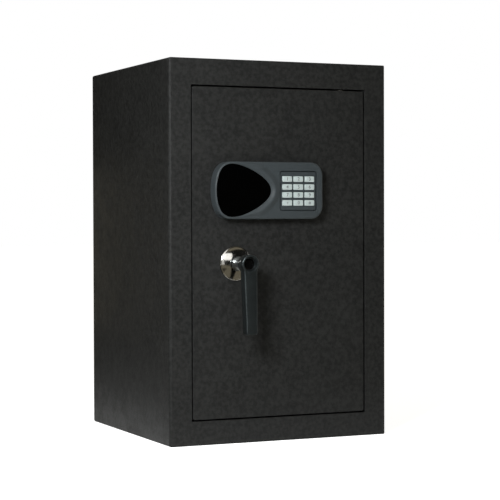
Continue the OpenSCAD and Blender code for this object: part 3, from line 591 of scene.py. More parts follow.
def to_mesh(name: str, shape: Solid, smooth_deg: float = 30.0) -> Mesh:
    """Turns a bmesh into a mesh that is smooth up to an angle.

    Args:
        name: The mesh's name.
        shape: The bmesh, which is freed.
        smooth_deg: Edges sharper than this stay sharp.

    Returns:
        The mesh.
    """
    mesh = bpy.data.meshes.new(name)
    shape.to_mesh(mesh)
    shape.free()
    mesh.shade_smooth()
    mesh.set_sharp_from_angle(angle=math.radians(smooth_deg))
    return mesh


def settled(mesh: Mesh) -> Mesh:
    """Lets the large faces of a mesh set its normals, so that flats stay flat beside small rounds.

    Args:
        mesh: The mesh, which is replaced.

    Returns:
        The mesh with its new normals.
    """
    holder = bpy.data.objects.new(mesh.name, mesh)
    bpy.context.scene.collection.objects.link(holder)
    step = holder.modifiers.new("weights", "WEIGHTED_NORMAL")
    step.keep_sharp = True
    name = mesh.name
    done = evaluated(holder, name + "_settled")
    bpy.data.meshes.remove(mesh)
    done.name = name
    return done


def evaluated(obj: bpy.types.Object, name: str) -> Mesh:
    """Bakes an object's modifiers into a plain mesh, and removes the object.

    Args:
        obj: The object with its modifiers.
        name: The new mesh's name.

    Returns:
        The mesh.
    """
    graph = bpy.context.evaluated_depsgraph_get()
    mesh = bpy.data.meshes.new_from_object(obj.evaluated_get(graph), depsgraph=graph)
    mesh.name = name
    bpy.data.objects.remove(obj)
    return mesh


def loft(shape: Solid, rings: Sequence[Sequence[Vector]]) -> None:
    """Skins closed rings of points with quads, and closes both ends.

    Args:
        shape: The bmesh that gets the skin.
        rings: Rings with equally many points each.
    """
    rows = [[shape.verts.new(point) for point in points] for points in rings]
    for low, high in zip(rows, rows[1:]):
        for i in range(len(low)):
            k = (i + 1) % len(low)
            shape.faces.new((low[i], low[k], high[k], high[i]))
    shape.faces.new(list(reversed(rows[0])))
    shape.faces.new(rows[-1])


def outward(shape: Solid) -> Solid:
    """Merges doubles and turns every face outwards.

    Args:
        shape: The bmesh to put right.

    Returns:
        The same bmesh.
    """
    bmesh.ops.remove_doubles(shape, verts=shape.verts, dist=1e-7)
    bmesh.ops.recalc_face_normals(shape, faces=shape.faces)
    return shape


def lathe(profile: Sequence[Point2], centre: Point2, steps: int = 96) -> Solid:
    """Turns a closed profile about an axis along Y.

    Args:
        profile: Points as radius and y, going round the section.
        centre: The axis's x and z.
        steps: How many flats the turn has.

    Returns:
        The turned shape.
    """
    shape = bmesh.new()
    rows = []
    for i in range(steps):
        a = 2 * math.pi * i / steps
        u, v = math.cos(a), math.sin(a)
        rows.append([shape.verts.new((centre[0] + r * u, y, centre[1] + r * v)) for r, y in profile])
    for i, low in enumerate(rows):
        high = rows[(i + 1) % steps]
        for j in range(len(profile)):
            k = (j + 1) % len(profile)
            if profile[j][0] > 1e-7 or profile[k][0] > 1e-7:
                shape.faces.new((low[j], low[k], high[k], high[j]))
    bmesh.ops.remove_doubles(shape, verts=shape.verts, dist=1e-7)
    bmesh.ops.dissolve_degenerate(shape, dist=1e-8, edges=shape.edges)
    return outward(shape)


def round_rect(width: float, height: float, radius: float, steps: int = 6) -> list[Point2]:
    """Rounded rectangle about the origin, anticlockwise.

    Args:
        width: Its width.
        height: Its height.
        radius: Its corner radius.
        steps: Steps of each corner.

    Returns:
        The outline's points.
    """
    points = []
    for corner, (sx, sz) in enumerate(((1, 1), (-1, 1), (-1, -1), (1, -1))):
        for i in range(steps + 1):
            a = math.pi / 2 * (corner + i / steps)
            points.append((sx * (width / 2 - radius) + radius * math.cos(a),
                           sz * (height / 2 - radius) + radius * math.sin(a)))
    return points


def circle(radius: float, steps: int = 48) -> list[Point2]:
    """Points of a circle about the origin, anticlockwise."""
    return [(radius * math.cos(2 * math.pi * i / steps), radius * math.sin(2 * math.pi * i / steps))
            for i in range(steps)]


def ring(outline: Iterable[Point2], y: float, centre: Point2 = (0.0, 0.0)) -> list[Vector]:
    """Places an outline, drawn as x and z, at a depth.

    Args:
        outline: The outline's points.
        y: The depth.
        centre: Where the outline's origin goes.

    Returns:
        The placed points.
    """
    return [Vector((centre[0] + x, y, centre[1] + z)) for x, z in outline]


def prism(outline: Sequence[Point2], y0: float, y1: float, centre: Point2 = (0.0, 0.0)) -> Solid:
    """Straight prism of an outline between two depths.

    Args:
        outline: The outline's points.
        y0: The nearer depth.
        y1: The farther depth.
        centre: Where the outline's origin goes.

    Returns:
        The prism.
    """
    shape = bmesh.new()
    loft(shape, [ring(outline, y1, centre), ring(outline, y0, centre)])
    return outward(shape)


def boolean(name: str, base: Solid, tools: Sequence[Solid], operation: str = "DIFFERENCE") -> Solid:
    """Cuts tools out of a solid, or joins them to it, with the exact solver.

    Args:
        name: A name for the working objects.
        base: The solid.
        tools: The tools' solids.
        operation: DIFFERENCE or UNION.

    Returns:
        The result.
    """
    bench = bpy.context.scene.collection.objects
    body = bpy.data.objects.new(name, to_mesh(name, base))
    bench.link(body)
    helpers = []
    for i, tool in enumerate(tools):
        helper = bpy.data.objects.new(f"{name}_tool_{i}", to_mesh(f"{name}_tool_{i}", tool))
        bench.link(helper)
        helpers.append(helper)
        step = body.modifiers.new(helper.name, "BOOLEAN")
        step.object = helper
        step.operation = operation
        step.solver = "EXACT"
    mesh = evaluated(body, name)
    for helper in helpers:
        bpy.data.objects.remove(helper)
    result = bmesh.new()
    result.from_mesh(mesh)
    bpy.data.meshes.remove(mesh)
    bmesh.ops.remove_doubles(result, verts=result.verts, dist=1e-7)
    return result


def break_edges(shape: Solid, width: float) -> None:
    """Rounds the sharp edges of a solid that are long enough to take it.

    Args:
        shape: The solid.
        width: Width of the rounding.
    """
    shape.edges.ensure_lookup_table()
    sharp, shortest = math.radians(40.0), 1.5 * width
    chosen = [
        edge for edge in shape.edges
        if len(edge.link_faces) == 2 and edge.calc_face_angle(0.0) > sharp
        and all(other.calc_length() > shortest for vert in edge.verts for other in vert.link_edges)
    ]
    if chosen:
        bmesh.ops.bevel(shape, geom=chosen, offset=width, segments=2, profile=0.5, affect="EDGES",
                        clamp_overlap=False)


def soft_copy(node: str, width: float) -> Solid:
    """Copies a CAD node's mesh, merged into clean faces, with its edges broken.

    Args:
        node: The node's name.
        width: Width of the broken edges.

    Returns:
        The copy.
    """
    shape = bmesh.new()
    shape.from_mesh(frame["nodes"][node].data)
    bmesh.ops.remove_doubles(shape, verts=shape.verts, dist=1e-7)
    bmesh.ops.dissolve_limit(shape, angle_limit=math.radians(0.5), verts=shape.verts, edges=shape.edges)
    break_edges(shape, width)
    return shape


def soften(node: str, name: str, coat: Coat, width: float) -> bpy.types.Object:
    """Shows a CAD node as a copy with broken edges.

    Args:
        node: The node.
        name: The new piece's name.
        coat: Its finish.
        width: Width of the broken edges.

    Returns:
        The new piece.
    """
    mesh = settled(to_mesh(name, soft_copy(node, width), 40.0))
    return new_piece(name, mesh, coat, body_of(node), [node])


def soften_all(rows: Iterable[tuple[str, str, Coat, float]]) -> None:
    """Shows several CAD nodes as copies with broken edges.

    Args:
        rows: The node, the new piece's name, its finish and the width of its broken edges.
    """
    for node, name, coat, width in rows:
        soften(node, name, coat, width)


def body_of(node: str) -> str:
    """Returns the name of the body that a CAD node belongs to."""
    bodies = frame["record"]["behaviour"]["bodies"]
    return next(body for body, nodes in bodies.items() if node in nodes)


def middle(node: str) -> Vector:
    """Returns the middle of a CAD node's box."""
    low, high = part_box(node)
    return (low + high) / 2


def side(node: str) -> Vector:
    """Returns the lengths of a CAD node's box."""
    low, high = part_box(node)
    return high - low


# ---------------------------------------------------------------- geometry node trees


def tree_of(name: str, inputs: dict[str, Socket],
            fill: Callable[[Graph, Node], Plug]) -> bpy.types.NodeTree:
    """Builds a geometry tree that ends in Realize Instances and Set Material.

    Args:
        name: The tree's name.
        inputs: Its inputs besides the geometry and the material.
        fill: Adds the tree's own nodes and returns the geometry's socket.

    Returns:
        The tree.
    """
    group = Group(name, "GeometryNodeTree",
                  {"Geometry": Socket.GEOMETRY, **inputs, "Material": Socket.MATERIAL},
                  {"Geometry": Socket.GEOMETRY}, lambda graph, ins, outs: end_tree(graph, ins, outs, fill))
    return group.tree()


def end_tree(graph: Graph, ins: Node, outs: Node, fill: Callable[[Graph, Node], Plug]) -> None:
    """Fills a geometry tree and adds its last nodes.

    Args:
        graph: The tree's graph.
        ins: Its input node.
        outs: Its output node.
        fill: Adds the tree's own nodes and returns the geometry's socket.
    """
    real = graph.call("GeometryNodeRealizeInstances", {"Geometry": fill(graph, ins)})
    dressed = graph.call("GeometryNodeSetMaterial", {"Geometry": real.outputs[0],
                                                     "Material": ins.outputs["Material"]})
    graph.feed(outs.inputs["Geometry"], dressed.outputs[0])


def run_tree(name: str, tree: bpy.types.NodeTree, start: Solid | None, coat: Coat,
             values: dict[str, object], smooth_deg: float = 35.0) -> Mesh:
    """Runs a geometry tree on a starting mesh and returns the plain result.

    Args:
        name: The result's name.
        tree: The tree.
        start: The mesh that the tree starts from, or None for an empty one.
        coat: The finish that the tree sets.
        values: The tree's other inputs, by name.
        smooth_deg: Edges sharper than this stay sharp.

    Returns:
        The result's mesh.
    """
    holder = bpy.data.objects.new(name, to_mesh(name + "_start", start or bmesh.new()))
    bpy.context.scene.collection.objects.link(holder)
    step = holder.modifiers.new(name, "NODES")
    step.node_group = tree
    for item in tree.interface.items_tree:
        if item.item_type == "SOCKET" and item.in_out == "INPUT" and item.name in values:
            step[item.identifier] = values[item.name]
        if item.item_type == "SOCKET" and item.in_out == "INPUT" and item.name == "Material":
            step[item.identifier] = coat.material()
    mesh = evaluated(holder, name)
    mesh.shade_smooth()
    mesh.set_sharp_from_angle(angle=math.radians(smooth_deg))
    return mesh


def fill_winding(graph: Graph, ins: Node) -> Plug:
    """Round wire wound on a straight axis along Z.

    Args:
        graph: The tree's graph.
        ins: Its input node.

    Returns:
        The geometry's socket.
    """
    path = graph.call("GeometryNodeCurveSpiral", {
        "Resolution": ins.outputs["Steps"], "Rotations": ins.outputs["Turns"],
        "Start Radius": ins.outputs["Radius"], "End Radius": ins.outputs["Radius"],
        "Height": ins.outputs["Height"]})
    section = graph.call("GeometryNodeCurvePrimitiveCircle", {
        "Resolution": 8, "Radius": ins.outputs["Wire Radius"]})
    tube = graph.call("GeometryNodeCurveToMesh", {
        "Curve": path.outputs[0], "Profile Curve": section.outputs[0], "Fill Caps": True})
    placed = graph.call("GeometryNodeTransform", {"Geometry": tube.outputs[0],
                                                  "Translation": ins.outputs["Foot"]})
    return placed.outputs[0]


def fill_seats(graph: Graph, ins: Node) -> Plug:
    """One shape on every starting point, each turned about its axis by its own amount.

    Args:
        graph: The tree's graph.
        ins: Its input node.

    Returns:
        The geometry's socket.
    """
    # Radians that a driven screw's slot may stand off from level.
    most = 0.8
    shape = graph.call("GeometryNodeObjectInfo", {"Object": ins.outputs["Shape"]},
                       transform_space="ORIGINAL")
    turn = graph.call("FunctionNodeRandomValue", {
        "Seed": ins.outputs["Seed"], 0: (0.0, -most, 0.0), 1: (0.0, most, 0.0)}, data_type="FLOAT_VECTOR")
    stretch = graph.call("ShaderNodeVectorMath", {0: turn.outputs[0], "Scale": ins.outputs["Spread"]},
                         operation="SCALE")
    sown = graph.call("GeometryNodeInstanceOnPoints", {"Points": ins.outputs["Geometry"],
                                                       "Instance": shape.outputs["Geometry"],
                                                       "Rotation": stretch.outputs[0]})
    return sown.outputs[0]


def fill_disc(graph: Graph, ins: Node) -> Plug:
    """Egg-shaped disc: a section of points as share of the width and depth, swept round the outline's rule.

    Args:
        graph: The tree's graph.
        ins: Its input node.

    Returns:
        The geometry's socket.
    """
    count = graph.call("GeometryNodeAttributeDomainSize", {"Geometry": ins.outputs["Geometry"]},
                       component="MESH")
    grid = graph.call("GeometryNodeMeshGrid", {
        "Size X": 1.0, "Size Y": 1.0, "Vertices X": ins.outputs["Steps"],
        "Vertices Y": count.outputs["Point Count"]})
    place = graph.call("ShaderNodeSeparateXYZ", {0: graph.add("GeometryNodeInputPosition").outputs[0]})
    angle = graph.maths("MULTIPLY", graph.maths("ADD", place.outputs["X"], 0.5), 2 * math.pi)
    last = graph.maths("SUBTRACT", count.outputs["Point Count"], 1.0)
    row = graph.maths("ROUND", graph.maths("MULTIPLY", graph.maths("ADD", place.outputs["Y"], 0.5), last))
    section = graph.call("GeometryNodeSampleIndex", {
        "Geometry": ins.outputs["Geometry"],
        "Value": graph.add("GeometryNodeInputPosition").outputs[0], "Index": row}, data_type="FLOAT_VECTOR")
    share = graph.call("ShaderNodeSeparateXYZ", {0: section.outputs[0]})
    lean = graph.maths("MULTIPLY", ins.outputs["Lean"], 2.0)
    double = graph.maths("MULTIPLY", angle, 2.0)
    across = graph.maths("ADD", graph.maths("COSINE", angle),
                         graph.maths("MULTIPLY", lean, graph.maths("COSINE", double)))
    up = graph.maths("SUBTRACT", graph.maths("SINE", angle),
                     graph.maths("MULTIPLY", lean, graph.maths("SINE", double)))
    x, z = (graph.maths("MULTIPLY", graph.maths("MULTIPLY", way, ins.outputs[half]), share.outputs["X"])
            for way, half in ((across, "Half Width"), (up, "Half Height")))
    spot = graph.call("ShaderNodeCombineXYZ", {"X": x, "Y": share.outputs["Y"], "Z": z})
    moved = graph.call("GeometryNodeSetPosition", {"Geometry": grid.outputs[0], "Position": spot.outputs[0],
                                                   "Offset": ins.outputs["Centre"]})
    merged = graph.call("GeometryNodeMergeByDistance", {"Geometry": moved.outputs[0], "Distance": 2e-6})
    return merged.outputs[0]


def winding(name: str, foot: Vector, radius: float, height: float, turns: float, wire: float,
            coat: Coat) -> Mesh:
    """Makes wire wound round a line along Z, such as a spring or a coil.

    Args:
        name: The mesh's name.
        foot: Where its axis starts.
        radius: Radius of the turns.
        height: Length along the axis.
        turns: Number of turns.
        wire: Radius of the wire.
        coat: Its finish.

    Returns:
        The mesh.
    """
    tree = tree_of("wound_wire", {
        "Turns": Socket.FLOAT, "Steps": Socket.INT, "Radius": Socket.FLOAT, "Height": Socket.FLOAT,
        "Wire Radius": Socket.FLOAT, "Foot": Socket.VECTOR}, fill_winding)
    return run_tree(name, tree, None, coat, {
        "Turns": float(turns), "Steps": 20, "Radius": radius, "Height": height, "Wire Radius": wire,
        "Foot": tuple(foot)}, 60.0)


def seated(name: str, shape: Solid, spots: Sequence[Vector], coat: Coat, seed: int = 0,
           spread: float = 0.0) -> Mesh:
    """Repeats a shape on several spots.

    Args:
        name: The mesh's name.
        shape: The shape about the origin.
        spots: Where it goes.
        coat: Its finish.
        seed: Seed of the turns.
        spread: Share of the largest turn about Y that each copy may have.

    Returns:
        The mesh.
    """
    tree = tree_of("shape_on_seats", {"Shape": Socket.OBJECT, "Seed": Socket.INT, "Spread": Socket.FLOAT},
                   fill_seats)
    pattern = bpy.data.objects.new(name + "_pattern", to_mesh(name + "_pattern", shape))
    bpy.context.scene.collection.objects.link(pattern)
    points = bmesh.new()
    for spot in spots:
        points.verts.new(spot)
    mesh = run_tree(name, tree, points, coat, {"Shape": pattern, "Seed": seed, "Spread": spread})
    bpy.data.objects.remove(pattern)
    return mesh


@dataclass
class PanScrew:
    """Cross-slotted pan head screw that is driven towards -Y, its head's seat in the plane y = 0."""

    head_r: float
    head_h: float
    shank_r: float
    length: float
    pitch: float = 0.55 * MM
    thread_share: float = 0.86
    point_share: float = 0.7
    rim_share: float = 0.35
    slot_w_share: float = 0.24
    slot_l_share: float = 1.15
    slot_deep_share: float = 0.55

    def shape(self) -> Solid:
        """Returns the screw about the origin."""
        crown = [(self.head_r, 0.0)]
        dome = 1 - self.rim_share
        crown += [(self.head_r * math.cos(a), self.head_h * (self.rim_share + dome * math.sin(a)))
                  for a in (math.pi / 2 * i / 6 for i in range(1, 6))]
        crown.append((0.0, self.head_h))
        thread = []
        for i in range(max(3, int(self.length / self.pitch) - 1)):
            thread += [(self.shank_r, -i * self.pitch),
                       (self.shank_r * self.thread_share, -(i + 0.5) * self.pitch)]
        point = [(0.0, -self.length), (self.shank_r * self.point_share, -self.length)]
        screw = lathe(point + list(reversed(thread)) + crown, (0.0, 0.0), 24)
        slot_w, slot_l = self.slot_w_share * self.head_r, self.slot_l_share * self.head_r
        deep = self.slot_deep_share * self.head_h
        cross = [prism([(-a / 2, -b / 2), (a / 2, -b / 2), (a / 2, b / 2), (-a / 2, b / 2)],
                       self.head_h - deep, 2 * self.head_h)
                 for a, b in ((slot_w, slot_l), (slot_l, slot_w))]
        return boolean("pan_screw", screw, cross)


# ---------------------------------------------------------------- studio


@dataclass(frozen=True)
class Lamp:
    """Soft rectangular lamp: its place, what it shines at, its size and its power in watts."""

    name: str
    spot: Point3
    target: Point3
    size: Point2
    power: float
    colour: Colour = WHITE


@dataclass(frozen=True)
class Card:
    """Card that only shows in gloss: its place, what it faces, its size and how bright it is."""

    name: str
    spot: Point3
    target: Point3
    size: Point2
    level: float
    colour: Colour = WHITE


@dataclass
class Studio:
    """Camera, plain lamps, pale ground and the cards that shape the gloss."""

    eye: Point3 = (-0.923, -2.106, 0.293)
    yaw_deg: float = 24.2
    pitch_deg: float = -1.09
    roll_deg: float = 0.16
    focal_mm: float = 118.1
    floor_size: float = 30.0
    sky: float = 0.20
    floor_gap: float = 0.2 * MM
    floor_shade: Colour = (0.82, 0.82, 0.82)
    floor_glow: float = 0.89
    air: Colour = (1.0, 0.95, 0.72)
    warm: Colour = (1.0, 0.90, 0.68)
    cool: Colour = (0.955, 0.985, 1.0)

    def build(self) -> None:
        """Builds everything."""
        scene = bpy.context.scene
        scene.view_settings.view_transform = "Standard"
        scene.world = self.world()
        self.camera()
        self.ground()
        for lamp in (
                Lamp("key_softbox", (-0.64, -0.82, 0.58), (-0.08, -0.15, -0.55), (0.26, 0.26), 9.6,
                     self.cool),
                Lamp("side_softbox", (-1.6, 0.9, 0.0), (-0.1, 0.0, 0.1), (1.0, 0.6), 0.05, self.warm),
                Lamp("fill_softbox", (1.9, -1.3, 0.9), (0.0, 0.0, 0.25), (1.2, 1.6), 0.8)):
            self.hang(lamp)
        for card in (
                Card("front_flag", (0.45, -1.20, 0.62), (0.05, -0.15, 0.35), (2.8, 1.25), 0.012),
                Card("upper_flag", (0.30, -0.95, 1.45), (0.0, -0.15, 0.30), (2.8, 0.75), 0.26, self.warm),
                Card("gloss_card", (-0.25, -1.00, 0.60), (-0.06, -0.15, 0.24), (0.50, 0.40), 2.2),
                Card("side_flag", (-1.3, 1.5, 0.85), (-0.15, 0.0, 0.25), (3.4, 2.2), 0.03, self.warm),
                Card("side_mat", (-1.1, 0.9, 0.004), (-1.1, 0.9, 1.0), (1.7, 3.4), 0.05, self.warm),
                Card("side_kicker", (-0.205, 0.245, 0.25), (-0.157, -0.10, 0.25), (0.10, 0.24), 0.34,
                     self.warm),
                Card("left_flag", (-2.1, -0.9, 0.75), (-0.1, -0.1, 0.3), (3.2, 1.5), 0.22),
                Card("front_mat", (0.2, -1.55, 0.004), (0.2, -1.55, 1.0), (3.2, 2.6), 0.22, self.warm)):
            self.stand(card)

    def camera(self) -> None:
        """Places the camera."""
        data = bpy.data.cameras.new("camera")
        data.sensor_width = 36.0
        data.lens = self.focal_mm
        data.clip_end = 100.0
        camera = bpy.data.objects.new("camera", data)
        yaw, pitch, roll = (math.radians(value) for value in (self.yaw_deg, self.pitch_deg, self.roll_deg))
        turn = Matrix.Rotation(-yaw, 4, "Z") @ Matrix.Rotation(math.pi / 2 + pitch, 4, "X")
        camera.matrix_world = Matrix.Translation(self.eye) @ turn @ Matrix.Rotation(-roll, 4, "Z")
        bpy.context.scene.collection.objects.link(camera)
        bpy.context.scene.camera = camera

    def seen(self, graph: Graph, *kinds: str) -> Plug:
        """Returns 1 for rays of the named kinds and 0 for others.

        Args:
            graph: The material's or the world's tree.
            kinds: The kinds of ray, as the Light Path node names them.

        Returns:
            The mask's socket.
        """
        rays = graph.add("ShaderNodeLightPath")
        total: object = 0.0
        for kind in kinds:
            total = graph.maths("ADD", total, rays.outputs[f"Is {kind} Ray"], clamp=True)
        return total

    def world(self) -> bpy.types.World:
        """Returns a world that is white where it is seen and grey where it lights."""
        world = bpy.data.worlds.new("studio_air")
        world.use_nodes = True
        world.node_tree.nodes.clear()
        graph = Graph(world.node_tree)
        seen = self.seen(graph, "Camera", "Glossy", "Transmission")
        level = graph.maths("ADD", graph.maths("MULTIPLY", seen, 1.0 - self.sky), self.sky)
        shade = mix(graph, seen, (*self.air, 1.0), (*WHITE, 1.0))
        back = graph.call("ShaderNodeBackground", {"Color": shade, "Strength": level})
        graph.call("ShaderNodeOutputWorld", {"Surface": back.outputs[0]})
        return world

    def plain(self, name: str) -> tuple[bpy.types.Material, Graph]:
        """Returns a new material and the graph of its empty tree.

        Args:
            name: The material's name.

        Returns:
            The material and its graph.
        """
        made = bpy.data.materials.new(name)
        made.use_nodes = True
        made.node_tree.nodes.clear()
        return made, Graph(made.node_tree)

    def ground(self) -> None:
        """Lays a pale floor that is white to the camera and keeps the shadow."""
        shape = bmesh.new()
        bmesh.ops.create_grid(shape, x_segments=1, y_segments=1, size=self.floor_size / 2)
        floor = bpy.data.objects.new("studio_floor", to_mesh("studio_floor", shape))
        floor.location.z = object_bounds()[0][2] - self.floor_gap
        bpy.context.scene.collection.objects.link(floor)
        made, graph = self.plain("studio_floor")
        seen = self.seen(graph, "Camera", "Glossy", "Transmission")
        matte = graph.call("ShaderNodeBsdfDiffuse", {"Color": (*self.floor_shade, 1.0), "Roughness": 0.5})
        glow = graph.call("ShaderNodeEmission", {
            "Strength": graph.maths("MULTIPLY", seen, self.floor_glow)})
        both = graph.call("ShaderNodeAddShader", {0: matte.outputs[0], 1: glow.outputs[0]})
        graph.call("ShaderNodeOutputMaterial", {"Surface": both.outputs[0]})
        floor.data.materials.append(made)
        floor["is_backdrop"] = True

    def aim(self, spot: Sequence[float], target: Sequence[float]) -> Matrix:
        """Returns the matrix of something at a spot whose -Z looks at a target."""
        away = Vector(target) - Vector(spot)
        return Matrix.Translation(spot) @ away.to_track_quat("-Z", "Y").to_matrix().to_4x4()

    def hang(self, lamp: Lamp) -> None:
        """Hangs a soft lamp.

        Args:
            lamp: Its place, size and light.
        """
        data = bpy.data.lights.new(lamp.name, "AREA")
        data.shape = "RECTANGLE"
        data.size, data.size_y = lamp.size
        data.energy = lamp.power
        data.color = lamp.colour
        holder = bpy.data.objects.new(lamp.name, data)
        holder.matrix_world = self.aim(lamp.spot, lamp.target)
        bpy.context.scene.collection.objects.link(holder)

    def stand(self, card: Card) -> None:
        """Stands a card that only shows in gloss.

        Args:
            card: Its place, size and brightness.
        """
        shape = bmesh.new()
        bmesh.ops.create_grid(shape, x_segments=1, y_segments=1, size=0.5)
        bmesh.ops.scale(shape, vec=(card.size[0], card.size[1], 1.0), verts=shape.verts)
        sheet = bpy.data.objects.new(card.name, to_mesh(card.name, shape))
        sheet.matrix_world = self.aim(card.spot, card.target)
        made, graph = self.plain(card.name)
        glow = graph.call("ShaderNodeEmission", {"Color": (*card.colour, 1.0), "Strength": card.level})
        graph.call("ShaderNodeOutputMaterial", {"Surface": glow.outputs[0]})
        sheet.data.materials.append(made)
        bpy.context.scene.collection.objects.link(sheet)
        sheet.visible_camera = sheet.visible_diffuse = False
        sheet.visible_shadow = sheet.visible_transmission = False
        sheet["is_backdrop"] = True


# ---------------------------------------------------------------- cabinet and shelf


@dataclass
class Cabinet:
    """Folded steel body with its jambs, hinge pins, shelf brackets and floor mat."""

    edge: float = 0.35 * MM
    pin_edge: float = 0.5 * MM
    mat_wave: float = 0.25 * MM
    anchor_x: float = 100 * MM
    anchor_y: float = 80 * MM
    anchor_r: float = 8.5 * MM

    def build(self) -> None:
        """Builds and dresses the cabinet's pieces."""
        soften_all([("body_shell", "cabinet_shell", Coat.CABINET, self.edge),
                    ("back_panel", "cabinet_back", Coat.CABINET, self.edge)])
        soften_all((node, node + "_folded", Coat.CABINET, self.edge)
                   for node in ("jamb_latch", "jamb_hinge", "jamb_head", "jamb_sill"))
        soften_all([("hinge_pins", "hinge_pins_turned", Coat.STEEL, self.pin_edge),
                    ("shelf_brackets", "shelf_brackets_folded", Coat.CABINET, self.edge)])
        low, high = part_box("floor_mat")
        holes = [(x, y) for x in (-self.anchor_x, self.anchor_x) for y in (-self.anchor_y, self.anchor_y)]
        mat = FeltMat("floor_felt", low, high, self.mat_wave, holes, self.anchor_r).mesh()
        piece = new_piece("floor_felt", mat, Coat.FELT, "cabinet", ["floor_mat"])


@dataclass
class Shelf:
    """Lift-out shelf and the felt on it."""

    edge: float = 0.3 * MM
    mat_wave: float = 0.2 * MM

    def build(self) -> None:
        """Builds and dresses the shelf's pieces."""
        soften("shelf_panel", "shelf_tray", Coat.CABINET, self.edge)
        low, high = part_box("shelf_mat")
        mat = FeltMat("shelf_felt", low, high, self.mat_wave).mesh()
        piece = new_piece("shelf_felt", mat, Coat.FELT, "shelf", ["shelf_mat"])


@dataclass
class FeltMat:
    """Cut felt mat that lies flat, with a softly uneven face and rounded edges."""

    name: str
    low: Vector
    high: Vector
    wave: float
    holes: Sequence[Point2] = ()
    hole_r: float = 0.0
    steps: int = 72
    soft_share: float = 0.45
    inset_shares: tuple[float, ...] = (0.0, 0.12, 0.45, 1.0)
    swells: tuple[Point2, Point2] = ((41.0, 17.0), (-29.0, 53.0))

    def mesh(self) -> Mesh:
        """Returns the mat's mesh."""
        low, high = self.low, self.high
        thick = high.z - low.z
        shape = bmesh.new()
        xs = self.places(low.x, high.x, self.soft_share * thick)
        ys = self.places(low.y, high.y, self.soft_share * thick)
        rows = [[shape.verts.new((x, y, self.face(x, y, self.soft_share * thick))) for y in ys] for x in xs]
        under = [[shape.verts.new((x, y, low.z)) for y in ys] for x in xs]
        for i in range(len(xs) - 1):
            for j in range(len(ys) - 1):
                shape.faces.new((rows[i][j], rows[i + 1][j], rows[i + 1][j + 1], rows[i][j + 1]))
                shape.faces.new((under[i][j], under[i][j + 1], under[i + 1][j + 1], under[i + 1][j]))
        right, far = len(xs) - 1, len(ys) - 1
        rim = [(i, 0) for i in range(right + 1)] + [(right, j) for j in range(1, far + 1)]
        rim += [(i, far) for i in range(right - 1, -1, -1)] + [(0, j) for j in range(far - 1, 0, -1)]
        for (i, j), (k, m) in zip(rim, rim[1:] + rim[:1]):
            shape.faces.new((under[i][j], under[k][m], rows[k][m], rows[i][j]))
        outward(shape)
        if self.holes:
            tools = []
            for x, y in self.holes:
                tool = bmesh.new()
                loft(tool, [[Vector((x + u, y + v, z)) for u, v in circle(self.hole_r)]
                            for z in (low.z - thick, high.z + thick)])
                tools.append(outward(tool))
            shape = boolean(self.name, shape, tools)
        return to_mesh(self.name, shape, 50.0)

    def face(self, x: float, y: float, soft: float) -> float:
        """Returns the height of the mat's face.

        Args:
            x: The place's x.
            y: The place's y.
            soft: Radius of the rounded edges.

        Returns:
            The height.
        """
        near = min(x - self.low.x, self.high.x - x, y - self.low.y, self.high.y - y)
        drop = soft - math.sqrt(max(0.0, soft ** 2 - max(0.0, soft - near) ** 2))
        (a, b), (c, d) = self.swells
        ripple = self.wave * (math.sin(a * x + b * y) * math.sin(c * x + d * y) - 1.0) / 2
        return self.high.z - drop + (ripple if near > soft else 0.0)

    def places(self, start: float, end: float, soft: float) -> list[float]:
        """Returns places along a side: close together at both ends, even between.

        Args:
            start: Where the side starts.
            end: Where it ends.
            soft: Radius of the rounded edges.

        Returns:
            The places in order.
        """
        inset = [share * soft for share in self.inset_shares]
        a, b = start + inset[-1], end - inset[-1]
        even = [a + (b - a) * i / self.steps for i in range(self.steps + 1)]
        return [start + d for d in inset[:-1]] + even + [end - d for d in reversed(inset[:-1])]


# ---------------------------------------------------------------- door


